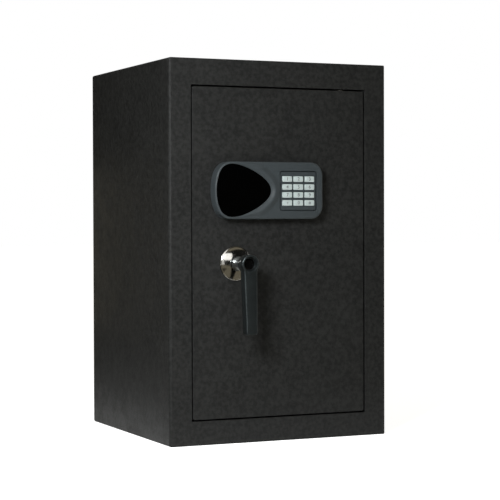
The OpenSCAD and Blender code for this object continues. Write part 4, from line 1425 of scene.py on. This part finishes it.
@dataclass
class Door:
    """Door plate with its hinge blocks, bolt channel, inner cover and fixings."""

    corner_r: float = 3.0 * MM
    least_r: float = 0.2 * MM
    edge_r: float = 0.7 * MM
    edge_steps: int = 5
    rear_edge: float = 0.3 * MM
    cover_edge: float = 0.9 * MM
    bush_hole_r: float = 8.5 * MM
    override_hole_r: float = 10.0 * MM
    cable_hole_r: float = 7.0 * MM
    screw_hole_r: float = 2.0 * MM
    screw_shank_r: float = 1.5 * MM
    through: float = 10 * MM

    def build(self) -> None:
        """Builds and dresses the door's pieces."""
        new_piece("door_panel", self.plate(), Coat.CABINET, "door", ["door_plate"])
        soften_all([("inner_cover", "inner_cover_folded", Coat.CABINET, self.cover_edge),
                    ("bolt_stile", "bolt_channel", Coat.ZINC, 0.2 * MM),
                    ("hinge_blocks", "hinge_blocks_milled", Coat.CABINET, 0.3 * MM),
                    ("hinge_bushes", "hinge_bushes_turned", Coat.DARK_BRASS, 0.2 * MM),
                    ("spindle_bush", "spindle_bush_turned", Coat.BRASS, 0.15 * MM),
                    ("cable_grommet", "cable_grommet_moulded", Coat.RUBBER, 0.15 * MM)])
        self.cover_screws()

    def plate(self) -> Mesh:
        """Returns the door plate with its edges eased and its holes cut."""
        low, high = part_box("door_plate")
        size, centre = side("door_plate"), middle("door_plate")

        def level(cut: float, radius: float, y: float) -> list[Vector]:
            """Returns the plate's outline, drawn in by a cut, at a depth."""
            return ring(round_rect(size.x - 2 * cut, size.z - 2 * cut, radius), y, (centre.x, centre.z))

        rings = []
        for i in range(self.edge_steps + 1):
            a = math.pi / 2 * i / self.edge_steps
            cut = self.edge_r * (1 - math.sin(a))
            rings.append(level(cut, max(self.corner_r - cut, self.least_r),
                               low.y + self.edge_r * (1 - math.cos(a))))
        cut = self.rear_edge
        rings += [level(0.0, self.corner_r, high.y - cut), level(cut, self.corner_r - cut, high.y)]
        shape = bmesh.new()
        loft(shape, rings)
        outward(shape)
        holes = [((spot.x, spot.z), circle(radius)) for spot, radius in (
            (middle("spindle_bush"), self.bush_hole_r), (middle("override_cylinder"), self.override_hole_r),
            (middle("cable_grommet"), self.cable_hole_r))]
        holes += [(seat, circle(self.screw_hole_r, 24))
                  for seat in screw_seats("housing_screws", PANEL_HEAD_R)]
        tools = [prism(outline, low.y - self.through, high.y + self.through, spot) for spot, outline in holes]
        return settled(to_mesh("door_panel", boolean("door_panel", shape, tools)))

    def cover_screws(self) -> None:
        """Makes the screws that hold the inner cover."""
        low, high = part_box("cover_screws")
        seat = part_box("inner_cover")[1].y
        x = (low.x + high.x) / 2
        head_r = (high.x - low.x) / 2
        spots = [Vector((x, seat, low.z + head_r + share * (high.z - low.z - 2 * head_r)))
                 for share in (0.0, 0.5, 1.0)]
        shape = PanScrew(head_r, high.y - seat, self.screw_shank_r, seat - low.y).shape()
        mesh = seated("cover_screws_driven", shape, spots, Coat.ZINC, seed=4, spread=1.0)
        new_piece("cover_screws_driven", mesh, Coat.ZINC, "door", ["cover_screws"])


def screw_seats(node: str, head_r: float) -> list[Point2]:
    """Returns x and z of four screws at the corners of a node's box."""
    low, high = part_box(node)
    return [(x, z) for x in (low.x + head_r, high.x - head_r) for z in (low.z + head_r, high.z - head_r)]


# ---------------------------------------------------------------- lock panel


def egg(half_w: float, half_h: float, lean: float, angle: float) -> Point2:
    """Returns the point of the lens's outline at an angle, about its centre."""
    return (half_w * (math.cos(angle) + 2 * lean * math.cos(2 * angle)),
            half_h * (math.sin(angle) - 2 * lean * math.sin(2 * angle)))


@dataclass
class Reach:
    """Distance from an outline's centre to the outline, by direction."""

    outline: Sequence[Point2]
    polar: list[tuple[float, float]] = field(default_factory=list)

    def __post_init__(self) -> None:
        """Sorts the outline's points by their direction."""
        self.polar = sorted((math.atan2(z, x), math.hypot(x, z)) for x, z in self.outline)

    def at(self, angle: float) -> float:
        """Returns the distance in one direction.

        Args:
            angle: The direction in radians.

        Returns:
            The distance.
        """
        angle = math.atan2(math.sin(angle), math.cos(angle))
        after = next((i for i, item in enumerate(self.polar) if item[0] >= angle), 0)
        (a0, r0), (a1, r1) = self.polar[after - 1], self.polar[after]
        gap = (a1 - a0) % (2 * math.pi)
        return r0 + (r1 - r0) * ((angle - a0) % (2 * math.pi)) / gap if gap else r1


@dataclass
class LockPanel:
    """Moulded housing that runs from round the lens to the keypad, with the lens and what is behind."""

    lean: float = 0.055
    peak: float = 1.023
    shoulder_deg: float = 101.6
    margin: float = 2.2 * MM
    corner_r: float = 17.0 * MM
    egg_steps: int = 56
    long_steps: int = 26
    corner_steps: int = 14
    end_steps: int = 8
    edge_r: float = 2.4 * MM
    edge_steps: int = 6
    rear_edge: float = 0.2 * MM
    rear_land: float = 0.3 * MM
    wall: float = 2.2 * MM
    face_t: float = 5.0 * MM
    face_steps: int = 5
    play: float = 0.2 * MM
    pocket_steps: int = 720
    lip_drop: float = 0.15 * MM
    lip_deep: float = 0.3 * MM
    collar_h: float = 2.5 * MM
    collar_foot: float = 0.3 * MM
    collar_top: float = 0.4
    collar_w: float = 15.0 * MM
    collar_room: float = 0.92
    collar_shares: tuple[float, ...] = (
        0.0, 0.02, 0.05, 0.1, 0.16, 0.23, 0.31, 0.4, 0.5, 0.62, 0.75, 0.88, 1.0)
    pad_margin_x: float = 4.0 * MM
    pad_margin_z: float = 7.0 * MM
    pad_r: float = 3.15 * MM
    pad_deep: float = 1.6 * MM
    groove_w: float = 1.2 * MM
    groove_deep: float = 1.8 * MM
    key_hole_r: float = 1.3 * MM
    plug_hole_r: float = 8.7 * MM
    window_margin: float = 1.0 * MM
    window_r: float = 0.5 * MM
    boss_r: float = 4.0 * MM
    screw_r: float = 1.6 * MM
    overlap: float = 1.0 * MM
    clear: float = 6.0 * MM
    through: float = 10.0 * MM
    lens_dome: float = 0.25 * MM
    lens_edge: float = 0.6 * MM
    lens_rear_edge: float = 0.15 * MM
    lens_steps: int = 145

    def __post_init__(self) -> None:
        """Reads the panel's sizes from the frame."""
        self.low, self.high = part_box("lock_housing")
        self.lens_low, self.lens_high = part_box("display_lens")
        self.lens_half_w = (self.lens_high.x - self.lens_low.x) / 2
        self.lens_half_h = (self.lens_high.z - self.lens_low.z) / 2
        self.centre = (self.lens_low.x + self.lens_half_w * (1 - 2 * self.lean),
                       (self.low.z + self.high.z) / 2)

    def build(self) -> None:
        """Builds and dresses the panel's pieces."""
        new_piece("panel_housing", self.housing(), Coat.PANEL, "door", ["lock_housing"])
        new_piece("panel_lens", self.lens(), Coat.LENS, "lens", ["display_lens"])
        soften_all([("housing_gasket", "housing_gasket_cut", Coat.RUBBER, 0.0),
                    ("display_module", "display_module_case", Coat.BOX, 0.4 * MM),
                    ("keypad_membrane", "keypad_membrane_mat", Coat.RUBBER, 0.2 * MM),
                    ("lock_board", "lock_board_cut", Coat.BOARD, 0.1 * MM)])
        self.screws()

    def screws(self) -> None:
        """Makes the screws that hold the housing from behind the door plate."""
        low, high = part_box("housing_screws")
        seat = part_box("door_plate")[1].y
        spots = [Vector((x, seat, z)) for x, z in screw_seats("housing_screws", PANEL_HEAD_R)]
        shape = PanScrew(PANEL_HEAD_R, high.y - seat, self.screw_r, seat - low.y).shape()
        mesh = seated("housing_screws_driven", shape, spots, Coat.ZINC, seed=9, spread=1.0)
        new_piece("housing_screws_driven", mesh, Coat.ZINC, "door", ["housing_screws"])

    def outline(self, inset: float) -> list[Point2]:
        """Returns the panel's outline about the lens's centre.

        Args:
            inset: How far it is drawn in.

        Returns:
            The points, anticlockwise from where the lens end meets the top edge.
        """
        half_w = self.lens_half_w + self.margin - inset
        half = (self.high.z - self.low.z) / 2 - inset
        top = math.radians(self.shoulder_deg)
        sweep = 2 * math.pi - 2 * top
        egg_part = [egg(half_w, half / self.peak, self.lean, top + sweep * i / self.egg_steps)
                    for i in range(self.egg_steps + 1)]
        right = self.high.x - self.centre[0] - inset
        r = self.corner_r - inset
        start = egg_part[-1][0]
        bottom = [(start + (right - r - start) * i / self.long_steps, -half)
                  for i in range(1, self.long_steps)]
        corner = [(right - r + r * math.cos(a), -half + r + r * math.sin(a))
                  for a in (math.pi / 2 * (i / self.corner_steps - 1) for i in range(self.corner_steps + 1))]
        upright = [(right, (-half + r) + 2 * (half - r) * i / self.end_steps)
                   for i in range(1, self.end_steps)]
        upper = [(x, -z) for x, z in reversed(bottom + corner)]
        return egg_part + bottom + corner + upright + upper

    def housing(self) -> Mesh:
        """Returns the housing: a shell that rises softly to a collar round the lens."""
        front = self.low.y
        floor = self.lens_high.y + self.play
        eased = [(self.edge_r * (1 - math.sin(a)), self.edge_r * (1 - math.cos(a)))
                 for a in (math.pi / 2 * i / self.edge_steps for i in range(self.edge_steps + 1))]
        rings = self.face(self.outline(eased[0][0]), front, floor)
        rings += [ring(self.outline(cut), front + deep, self.centre) for cut, deep in eased]
        rings += [ring(self.outline(0.0), self.high.y - self.rear_land, self.centre),
                  ring(self.outline(self.rear_edge), self.high.y, self.centre)]
        shape = bmesh.new()
        loft(shape, rings)
        outward(shape)
        shape = boolean("panel_housing", shape, self.cuts(front, floor))
        return settled(to_mesh("panel_housing", shape, 32.0))

    def face(self, rim: Sequence[Point2], front: float, floor: float) -> list[list[Vector]]:
        """Returns the rings of the lens's pocket, the collar round it and the face.

        Args:
            rim: Where the face ends.
            front: Depth of the face.
            floor: Depth of the pocket's floor.

        Returns:
            The rings, from the pocket's floor outwards.
        """
        turns = [2 * math.pi * i / self.pocket_steps for i in range(self.pocket_steps)]
        pocket = Reach([egg(self.lens_half_w + self.play, self.lens_half_h / self.peak + self.play,
                            self.lean, angle) for angle in turns])
        spokes = []
        for x, z in rim:
            angle, far = math.atan2(z, x), math.hypot(x, z)
            start = pocket.at(angle)
            scale = min(1.0, self.collar_room * (far - start) / self.collar_w)
            rise = min(1.0, (far - start) / self.collar_w)
            reach = [start + self.collar_w * share * scale for share in self.collar_shares]
            reach += [reach[-1] + (far - reach[-1]) * k / self.face_steps for k in range(1, self.face_steps)]
            spoke = [(start, floor), (start, front - self.crest(0.0) * rise + self.lip_deep)]
            spoke += [(r, front - rise * self.crest((r - start) / (self.collar_w * scale))) for r in reach]
            spoke[2] = (start, spoke[2][1] + self.lip_drop)
            u, v = math.cos(angle), math.sin(angle)
            spokes.append([Vector((self.centre[0] + u * r, y, self.centre[1] + v * r)) for r, y in spoke])
        return [list(points) for points in zip(*spokes)]

    def crest(self, share: float) -> float:
        """Returns the collar's height over the panel's face.

        Args:
            share: How far from the lens, as a share of the collar's width.

        Returns:
            The height.
        """
        up = min(1.0, share / self.collar_top)
        down = min(1.0, max(0.0, (share - self.collar_top) / (1 - self.collar_top)))
        climb = self.collar_foot + (self.collar_h - self.collar_foot) * up * up * (3 - 2 * up)
        return climb * (1 - down * down * (3 - 2 * down))

    def cuts(self, front: float, floor: float) -> list[Solid]:
        """Returns what is cut out of the housing.

        Args:
            front: Depth of its front.
            floor: Depth of the lens pocket's floor.

        Returns:
            The cutters.
        """
        face, behind = front + self.face_t, self.high.y + self.through
        seats = screw_seats("housing_screws", PANEL_HEAD_R)
        bosses = [prism(circle(self.boss_r, 32), face - self.overlap, behind + self.through, seat)
                  for seat in seats]
        hollow = prism(self.outline(self.wall), face, behind, self.centre)
        bores = [prism(circle(self.screw_r, 20), face, behind + 2 * self.through, seat) for seat in seats]
        return [boolean("housing_hollow", hollow, bosses), *bores, *self.pad(front),
                *self.openings(front, floor, face + self.overlap)]

    def pad(self, front: float) -> list[Solid]:
        """Returns the cutters of the sunk key field and of the groove round it.

        Args:
            front: Depth of the housing's front.

        Returns:
            The cutters.
        """
        (key_low, key_high), (last_low, last_high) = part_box(Keypad.nodes()[0]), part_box(Keypad.nodes()[-1])
        flange, groove = Keypad.flange / 2, self.groove_w
        width = last_high.x - key_low.x - 2 * flange + 2 * self.pad_margin_x
        height = key_high.z - last_low.z - 2 * flange + 2 * self.pad_margin_z
        spot = ((key_low.x + last_high.x) / 2, (last_low.z + key_high.z) / 2)
        outer = round_rect(width, height, self.pad_r)
        inner = round_rect(width - 2 * groove, height - 2 * groove, self.pad_r - groove / 2)
        deep = front + self.pad_deep
        trench = prism(outer, front, deep + self.groove_deep, spot)
        core = prism(inner, front - self.overlap, deep + 2 * self.groove_deep, spot)
        return [prism(outer, front - self.clear, deep, spot), boolean("pad_trench", trench, [core])]

    def openings(self, front: float, floor: float, end: float) -> list[Solid]:
        """Returns the cutters of the holes for the keys, the override lock and the display.

        Args:
            front: Depth of the housing's front.
            floor: Depth of the lens pocket's floor.
            end: Depth that the holes reach.

        Returns:
            The cutters.
        """
        spare = 2 * self.play - Keypad.flange
        holes = []
        for key in Keypad.nodes():
            size, spot = side(key), middle(key)
            outline = round_rect(size.x + spare, size.z + spare, self.key_hole_r)
            holes.append(prism(outline, front, end, (spot.x, spot.z)))
        plug = middle("override_cylinder")
        holes.append(prism(circle(self.plug_hole_r), floor - self.overlap, end, (plug.x, plug.z)))
        size, spot = side("display_module"), middle("display_module")
        window = round_rect(size.x + 2 * self.window_margin, size.z + 2 * self.window_margin, self.window_r)
        holes.append(prism(window, floor - self.overlap, end, (spot.x, spot.z)))
        return holes

    def lens(self) -> Mesh:
        """Returns the lens: an egg-shaped disc with a slight dome and a rounded edge."""
        front, back = self.lens_low.y, self.lens_high.y
        edge, soft = self.lens_edge, self.lens_rear_edge
        flat = 1 - edge / self.lens_half_w
        section = [(s * flat, front + self.lens_dome * s ** 4) for s in (0.0, 0.35, 0.6, 0.78, 0.9, 0.97)]
        section += [(flat + (1 - flat) * math.sin(a), front + self.lens_dome + edge * (1 - math.cos(a)))
                    for a in (math.pi / 2 * i / 6 for i in range(7))]
        section += [(1.0, back - soft), (1 - soft / self.lens_half_w, back), (0.5, back), (0.0, back)]
        start = bmesh.new()
        for s, y in section:
            start.verts.new((s, y, 0.0))
        tree = tree_of("egg_disc", {
            "Half Width": Socket.FLOAT, "Half Height": Socket.FLOAT, "Lean": Socket.FLOAT,
            "Steps": Socket.INT, "Centre": Socket.VECTOR}, fill_disc)
        mesh = run_tree("panel_lens", tree, start, Coat.LENS, {
            "Half Width": self.lens_half_w, "Half Height": self.lens_half_h / self.peak, "Lean": self.lean,
            "Steps": self.lens_steps, "Centre": (self.centre[0], 0.0, self.centre[1])}, 45.0)
        shape = bmesh.new()
        shape.from_mesh(mesh)
        return to_mesh("panel_lens", outward(shape), 45.0)


@dataclass
class Keypad:
    """Twelve key caps, each with its figure or sign."""

    flange: float = 1.2 * MM
    flange_t: float = 1.2 * MM
    corner_r: float = 1.3 * MM
    edge_r: float = 0.55 * MM
    edge_steps: int = 4
    dome: float = 0.3 * MM
    figure_h: float = 4.6 * MM
    figure_t: float = 0.03 * MM
    figure_lift: float = 0.03 * MM
    letter_share: float = 0.72
    star_drop: float = 0.28

    @staticmethod
    def order() -> list[str]:
        """Returns the keys' names, row by row from the top left."""
        return ["1", "2", "3", "4", "5", "6", "7", "8", "9", "star", "0", "hash"]

    @staticmethod
    def nodes() -> list[str]:
        """Returns the keys' nodes in the same order."""
        return [f"key_{name}" for name in Keypad.order()]

    def build(self) -> None:
        """Builds and dresses the caps and their signs."""
        signs = {"star": "*", "hash": "#"}
        for name, node in zip(self.order(), self.nodes()):
            body = f"{node}_cap"
            new_piece(f"keycap_{name}", self.cap(node), Coat.KEY, body, [node])
            new_piece(f"key_figure_{name}", self.figure(node, signs.get(name, name)), Coat.LEGEND, body)

    def cap(self, node: str) -> Mesh:
        """Returns one cap with its flange, rounded edges and slight dome.

        Args:
            node: The key's node.

        Returns:
            The cap's mesh.
        """
        low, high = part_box(node)
        spot = middle(node)
        centre = (spot.x, spot.z)
        width, height = high.x - low.x, high.z - low.z
        stem_w, stem_h = width - self.flange, height - self.flange
        shoulder = high.y - self.flange_t
        flange, stem = round_rect(width, height, self.corner_r), round_rect(stem_w, stem_h, self.corner_r)
        rings = [ring(flange, high.y, centre), ring(flange, shoulder, centre), ring(stem, shoulder, centre)]
        for i in range(self.edge_steps + 1):
            a = math.pi / 2 * i / self.edge_steps
            cut = self.edge_r * (1 - math.cos(a))
            y = low.y + self.dome + self.edge_r * (1 - math.sin(a))
            outline = round_rect(stem_w - 2 * cut, stem_h - 2 * cut, self.corner_r - cut)
            rings.append(ring(outline, y, centre))
        face_w, face_h = stem_w - 2 * self.edge_r, stem_h - 2 * self.edge_r
        for share in (0.85, 0.6, 0.3):
            outline = round_rect(face_w * share, face_h * share, (self.corner_r - self.edge_r) * share)
            rings.append(ring(outline, low.y + self.dome * share ** 2, centre))
        shape = bmesh.new()
        loft(shape, rings)
        return to_mesh(node, outward(shape), 50.0)

    def figure(self, node: str, sign: str) -> Mesh:
        """Returns one printed figure on its cap.

        Args:
            node: The key's node.
            sign: The figure.

        Returns:
            The figure's mesh.
        """
        low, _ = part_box(node)
        spot = middle(node)
        data = bpy.data.curves.new(f"{node}_sign", "FONT")
        data.body = sign
        data.size = self.figure_h / self.letter_share
        data.extrude = self.figure_t
        data.align_x, data.align_y = "CENTER", "CENTER"
        data.resolution_u = 3
        text = bpy.data.objects.new(f"{node}_sign", data)
        bpy.context.scene.collection.objects.link(text)
        mesh = evaluated(text, f"key_figure_{sign}")
        drop = self.figure_h * self.star_drop if sign == "*" else 0.0
        mesh.transform(Matrix.Translation((spot.x, low.y + self.figure_lift, spot.z - drop))
                       @ Matrix.Rotation(math.pi / 2, 4, "X"))
        return mesh


# ---------------------------------------------------------------- handle


@dataclass
class Handle:
    """Lever on its domed rosette, with the cap, screw and spindle."""

    hub_r: float = 12.0 * MM
    hub_t: float = 16.0 * MM
    hub_edge: float = 0.8 * MM
    root_t: float = 14.0 * MM
    end_t: float = 14.0 * MM
    root_w: float = 18.5 * MM
    end_w: float = 15.0 * MM
    end_r: float = 2.5 * MM
    end_share: float = 0.9
    end_land: float = 3.0 * MM
    blend: float = 1.2 * MM
    length: float = 90.0 * MM
    flare: float = 4.0 * MM
    neck_r: float = 9.0 * MM
    sleeve_t: float = 0.5 * MM
    sleeve_edge: float = 0.3 * MM
    cap_r: float = 7.2 * MM
    mouth_r: float = 9.2 * MM
    mouth_lip: float = 0.5 * MM
    cap_sink: float = 6.5 * MM
    cap_t: float = 2.0 * MM
    cap_edge: float = 0.5 * MM
    cap_dish: tuple[Point2, ...] = ((0.6, 0.1 * MM), (0.3, 0.22 * MM), (0.0, 0.26 * MM))
    edge_r: float = 1.7 * MM
    core_play: float = 0.05 * MM
    core_start: float = 2.0 * MM
    screw_play: float = 0.2 * MM
    drive_half: float = 4.05 * MM
    overlap: float = 0.15 * MM
    clear: float = 5.0 * MM
    crown_h: float = 8.5 * MM
    rim_h: float = 2.2 * MM
    rim_r: float = 1.2 * MM
    bore_r: float = 9.6 * MM
    bore_edge: float = 0.5 * MM
    dome_steps: int = 20

    def __post_init__(self) -> None:
        """Reads the handle's axis and front from the frame."""
        spot = middle("rosette")
        self.axis = (spot.x, spot.z)
        self.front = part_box("handle_lever")[0].y + self.flare
        self.neck_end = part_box("handle_lever")[1].y

    def build(self) -> None:
        """Builds and dresses the handle's pieces."""
        new_piece("rosette_domed", self.rosette(), Coat.CHROME, "door", ["rosette"])
        new_piece("lever_blade", self.lever(), Coat.LEVER, "handle", ["handle_lever"])
        new_piece("lever_sleeve", self.sleeve(), Coat.SLEEVE, "handle")
        new_piece("lever_cap", self.cap(), Coat.CAP, "handle", ["hub_cap"])
        soften_all([("lever_screw", "lever_screw_turned", Coat.ZINC, 0.2 * MM),
                    ("spindle", "spindle_square", Coat.ZINC, 0.2 * MM),
                    ("spindle_cam", "spindle_cam_cut", Coat.ZINC, 0.1 * MM),
                    ("spindle_clip", "spindle_clip_ring", Coat.STEEL, 0.0)])

    def rosette(self) -> Mesh:
        """Returns the domed plate on the door."""
        low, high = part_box("rosette")
        radius = (high.x - low.x) / 2
        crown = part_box("door_plate")[0].y - self.crown_h
        sag = high.y - crown - self.rim_h
        dome_r = (radius ** 2 + sag ** 2) / (2 * sag)

        def dome(r: float) -> float:
            """Returns the dome's depth at a distance from the axis."""
            return crown + dome_r - math.sqrt(dome_r ** 2 - r ** 2)

        soft, edge = self.rim_r, self.bore_edge
        inner, outer = self.bore_r + edge, radius - soft
        section = [(self.bore_r, high.y), (radius, high.y), (radius, dome(radius) + soft)]
        section += [(radius - soft * (1 - math.cos(a)), dome(outer) + soft * (1 - math.sin(a)))
                    for a in (math.pi / 2 * i / 6 for i in range(1, 6))]
        section += [(r, dome(r)) for r in (outer + (inner - outer) * i / self.dome_steps
                                           for i in range(self.dome_steps + 1))]
        section += [(self.bore_r + 0.24 * edge, dome(self.bore_r) + 0.2 * edge),
                    (self.bore_r, dome(self.bore_r) + edge)]
        return to_mesh("rosette_domed", lathe(section, self.axis, 128), 40.0)

    def half_width(self, drop: float) -> float:
        """Returns half the lever's width at a drop below the axis.

        Args:
            drop: Distance below the axis, negative above it.

        Returns:
            Half the width.
        """
        hub = math.sqrt(max(0.0, self.hub_r ** 2 - drop ** 2))
        if drop <= 0:
            return hub
        blade = (self.root_w + (self.end_w - self.root_w) * drop / self.length) / 2
        gap = max(0.0, self.blend - abs(hub - blade)) / self.blend
        width = max(hub, blade) + gap * gap * self.blend / 4
        over = max(0.0, (drop - (self.length - self.end_r)) / self.end_r)
        return width - self.end_share * self.end_r * (1 - math.sqrt(max(0.0, 1 - over * over)))

    def drops(self) -> list[float]:
        """Returns the drops below the axis of the lever's sections, from the top of the hub down."""
        quarter = math.pi / 2
        straight = self.length - self.end_land - self.hub_r
        drops = [-self.hub_r * math.cos(quarter * (i + 0.12) / 14) for i in range(14)]
        drops += [self.hub_r * i / 12 for i in range(13)]
        drops += [self.hub_r + straight * i / 16 for i in range(1, 17)]
        return drops + [self.length - self.end_r * (1 - math.sin(quarter * i / 7)) for i in range(1, 8)]

    def section(self, drop: float) -> list[Vector]:
        """Returns the lever's section.

        Args:
            drop: How far below the axis it is.

        Returns:
            The section's points.
        """
        half = self.half_width(drop)
        lean = max(0.0, (drop - self.hub_r) / (self.length - self.hub_r))
        front = self.front - self.flare * lean
        thick = self.root_t + (self.end_t - self.root_t) * lean
        outline = round_rect(2 * half, thick, min(self.edge_r, 0.8 * half), 5)
        return [Vector((self.axis[0] + x, front + thick / 2 + y, self.axis[1] - drop)) for x, y in outline]

    def lever(self) -> Mesh:
        """Returns the lever: blade and hub in one body, with the neck and the cap's seat."""
        shape = bmesh.new()
        loft(shape, [self.section(drop) for drop in self.drops()])
        outward(shape)
        shape = boolean("lever_blade", shape, [lathe(self.core(), self.axis, 72)], "UNION")
        seat = self.front + self.cap_sink + self.cap_t
        spindle_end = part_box("spindle")[0].y
        screw_r = side("lever_screw").x / 2 + self.screw_play
        half = self.drive_half
        square = [(-half, -half), (half, -half), (half, half), (-half, half)]
        cutters = [lathe(self.mouth(seat), self.axis, 72),
                   prism(circle(screw_r), seat - self.overlap, spindle_end, self.axis),
                   prism(square, spindle_end - self.overlap, self.neck_end + side("spindle").y, self.axis)]
        return to_mesh("lever_blade", boolean("lever_blade", shape, cutters), 34.0)

    def core(self) -> list[Point2]:
        """Returns the section of the hub's round core and of the neck behind it."""
        hub, neck = self.hub_r - self.core_play, self.neck_r - self.sleeve_t
        start, back = self.front + self.core_start, self.front + self.hub_t
        return [(0.0, start), (hub, start), (hub, back - self.hub_edge), (self.hub_r - self.hub_edge, back),
                (neck, back), (neck, self.neck_end), (0.0, self.neck_end)]

    def mouth(self, seat: float) -> list[Point2]:
        """Returns the section of the conical mouth in the hub.

        Args:
            seat: Depth of the cap's seat.

        Returns:
            The section's points, as radius and depth.
        """
        lip, before, sunk = self.mouth_lip, self.front - self.clear, self.front + self.cap_sink
        slope = (self.mouth_r - self.cap_r) / self.cap_sink
        return [(0.0, before), (self.mouth_r + self.clear, before), (self.mouth_r + lip, self.front),
                (self.mouth_r + 0.3 * lip, self.front + 0.2 * lip),
                (self.mouth_r - slope * lip, self.front + lip), (self.cap_r, sunk), (self.cap_r, seat),
                (0.0, seat)]

    def sleeve(self) -> Mesh:
        """Returns the bright sleeve round the lever's neck."""
        near, far = self.front + self.hub_t, self.neck_end
        inner, outer, soft = self.neck_r - self.sleeve_t, self.neck_r, self.sleeve_edge
        section = [(inner, far), (inner, near), (outer - soft, near), (outer, near + soft),
                   (outer, far - soft), (outer - soft, far)]
        return to_mesh("lever_sleeve", lathe(section, self.axis, 96), 50.0)

    def cap(self) -> Mesh:
        """Returns the cap in the hub, with a slight dish."""
        low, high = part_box("hub_cap")
        radius, edge = (high.x - low.x) / 2, self.cap_edge
        section = [(0.0, high.y), (radius, high.y), (radius, low.y + 0.8 * edge),
                   (radius - 0.24 * edge, low.y + 0.24 * edge), (radius - edge, low.y)]
        section += [(radius * share, low.y + deep) for share, deep in self.cap_dish]
        return to_mesh("lever_cap", lathe(section, self.axis, 64), 40.0)


# ---------------------------------------------------------------- works behind the door


@dataclass
class BoltWork:
    """Locking bolts on their carriage, and the solenoid that blocks it."""

    spring_turns: int = 5
    spring_wire: float = 0.42 * MM
    coil_wire: float = 0.3 * MM
    coil_pitch: float = 2.2
    cheek_t: float = 1.5 * MM

    def build(self) -> None:
        """Builds and dresses the bolt work."""
        soften_all([("locking_bolts", "locking_bolts_turned", Coat.STEEL, 0.5 * MM),
                    ("bolt_carriage", "bolt_carriage_folded", Coat.ZINC, 0.15 * MM),
                    ("solenoid_frame", "solenoid_frame_folded", Coat.ZINC, 0.2 * MM),
                    ("solenoid_plunger", "solenoid_plunger_turned", Coat.STEEL, 0.15 * MM),
                    ("solenoid_coil", "solenoid_bobbin", Coat.BOX, 0.0)])
        self.coil()
        self.spring()

    def coil(self) -> None:
        """Winds the copper wire between the bobbin's cheeks."""
        low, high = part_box("solenoid_coil")
        spot = middle("solenoid_coil")
        tall = high.z - low.z - 2 * self.cheek_t
        wire = winding("coil_winding", Vector((spot.x, spot.y, low.z + self.cheek_t)),
                       (high.x - low.x) / 2, tall, tall / (self.coil_pitch * self.coil_wire),
                       self.coil_wire, Coat.COPPER)
        new_piece("coil_winding", wire, Coat.COPPER, "door")

    def spring(self) -> None:
        """Winds the plunger's spring, which is squashed between the door and the plunger."""
        low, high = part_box("plunger_spring")
        spot = middle("plunger_spring")
        wire_r = self.spring_wire
        mesh = winding("plunger_spring_wound", Vector((spot.x, spot.y, low.z + wire_r)),
                       (high.x - low.x) / 2 - wire_r, high.z - low.z - 2 * wire_r, self.spring_turns,
                       wire_r, Coat.STEEL)
        mesh.materials.clear()
        mesh.materials.append(Coat.STEEL.material())
        spring = bpy.data.objects.new("plunger_spring_wound", mesh)
        bpy.context.scene.collection.objects.link(spring)
        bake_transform(spring)
        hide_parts("plunger_spring")
        LOG.info("plunger_spring_wound: bends between door and plunger")


@dataclass
class LockInternals:
    """Override lock, battery compartment, reset button and wiring."""

    case_edge: float = 0.4 * MM
    cell_edge: float = 0.3 * MM
    turned_edge: float = 0.2 * MM

    def build(self) -> None:
        """Builds and dresses the pieces."""
        soften_all([("override_cylinder", "override_barrel", Coat.CHROME, 0.3 * MM),
                    ("override_plug", "override_core", Coat.BRASS, self.turned_edge),
                    ("override_nut", "override_nut_turned", Coat.ZINC, self.turned_edge),
                    ("battery_box", "battery_tray", Coat.BOX, self.case_edge),
                    ("battery_cells", "battery_cells_wrapped", Coat.CELL, self.cell_edge),
                    ("battery_contacts", "battery_contact_strips", Coat.STEEL, 0.0),
                    ("battery_cover", "battery_lid_moulded", Coat.BOX, 0.35 * MM),
                    ("reset_button", "reset_button_moulded", Coat.RED, 0.3 * MM),
                    ("lock_harness", "lock_harness_sleeve", Coat.WIRE, 0.0)])


def main() -> None:
    """Builds the studio and every sub-assembly in order."""
    logging.basicConfig(level=logging.INFO, format="%(name)s: %(message)s")
    for part in (Studio(), Cabinet(), Shelf(), Door(), LockPanel(), Keypad(), Handle(), BoltWork(),
                 LockInternals()):
        LOG.info("building %s", type(part).__name__)
        part.build()


if __name__ == "__main__":
    main()
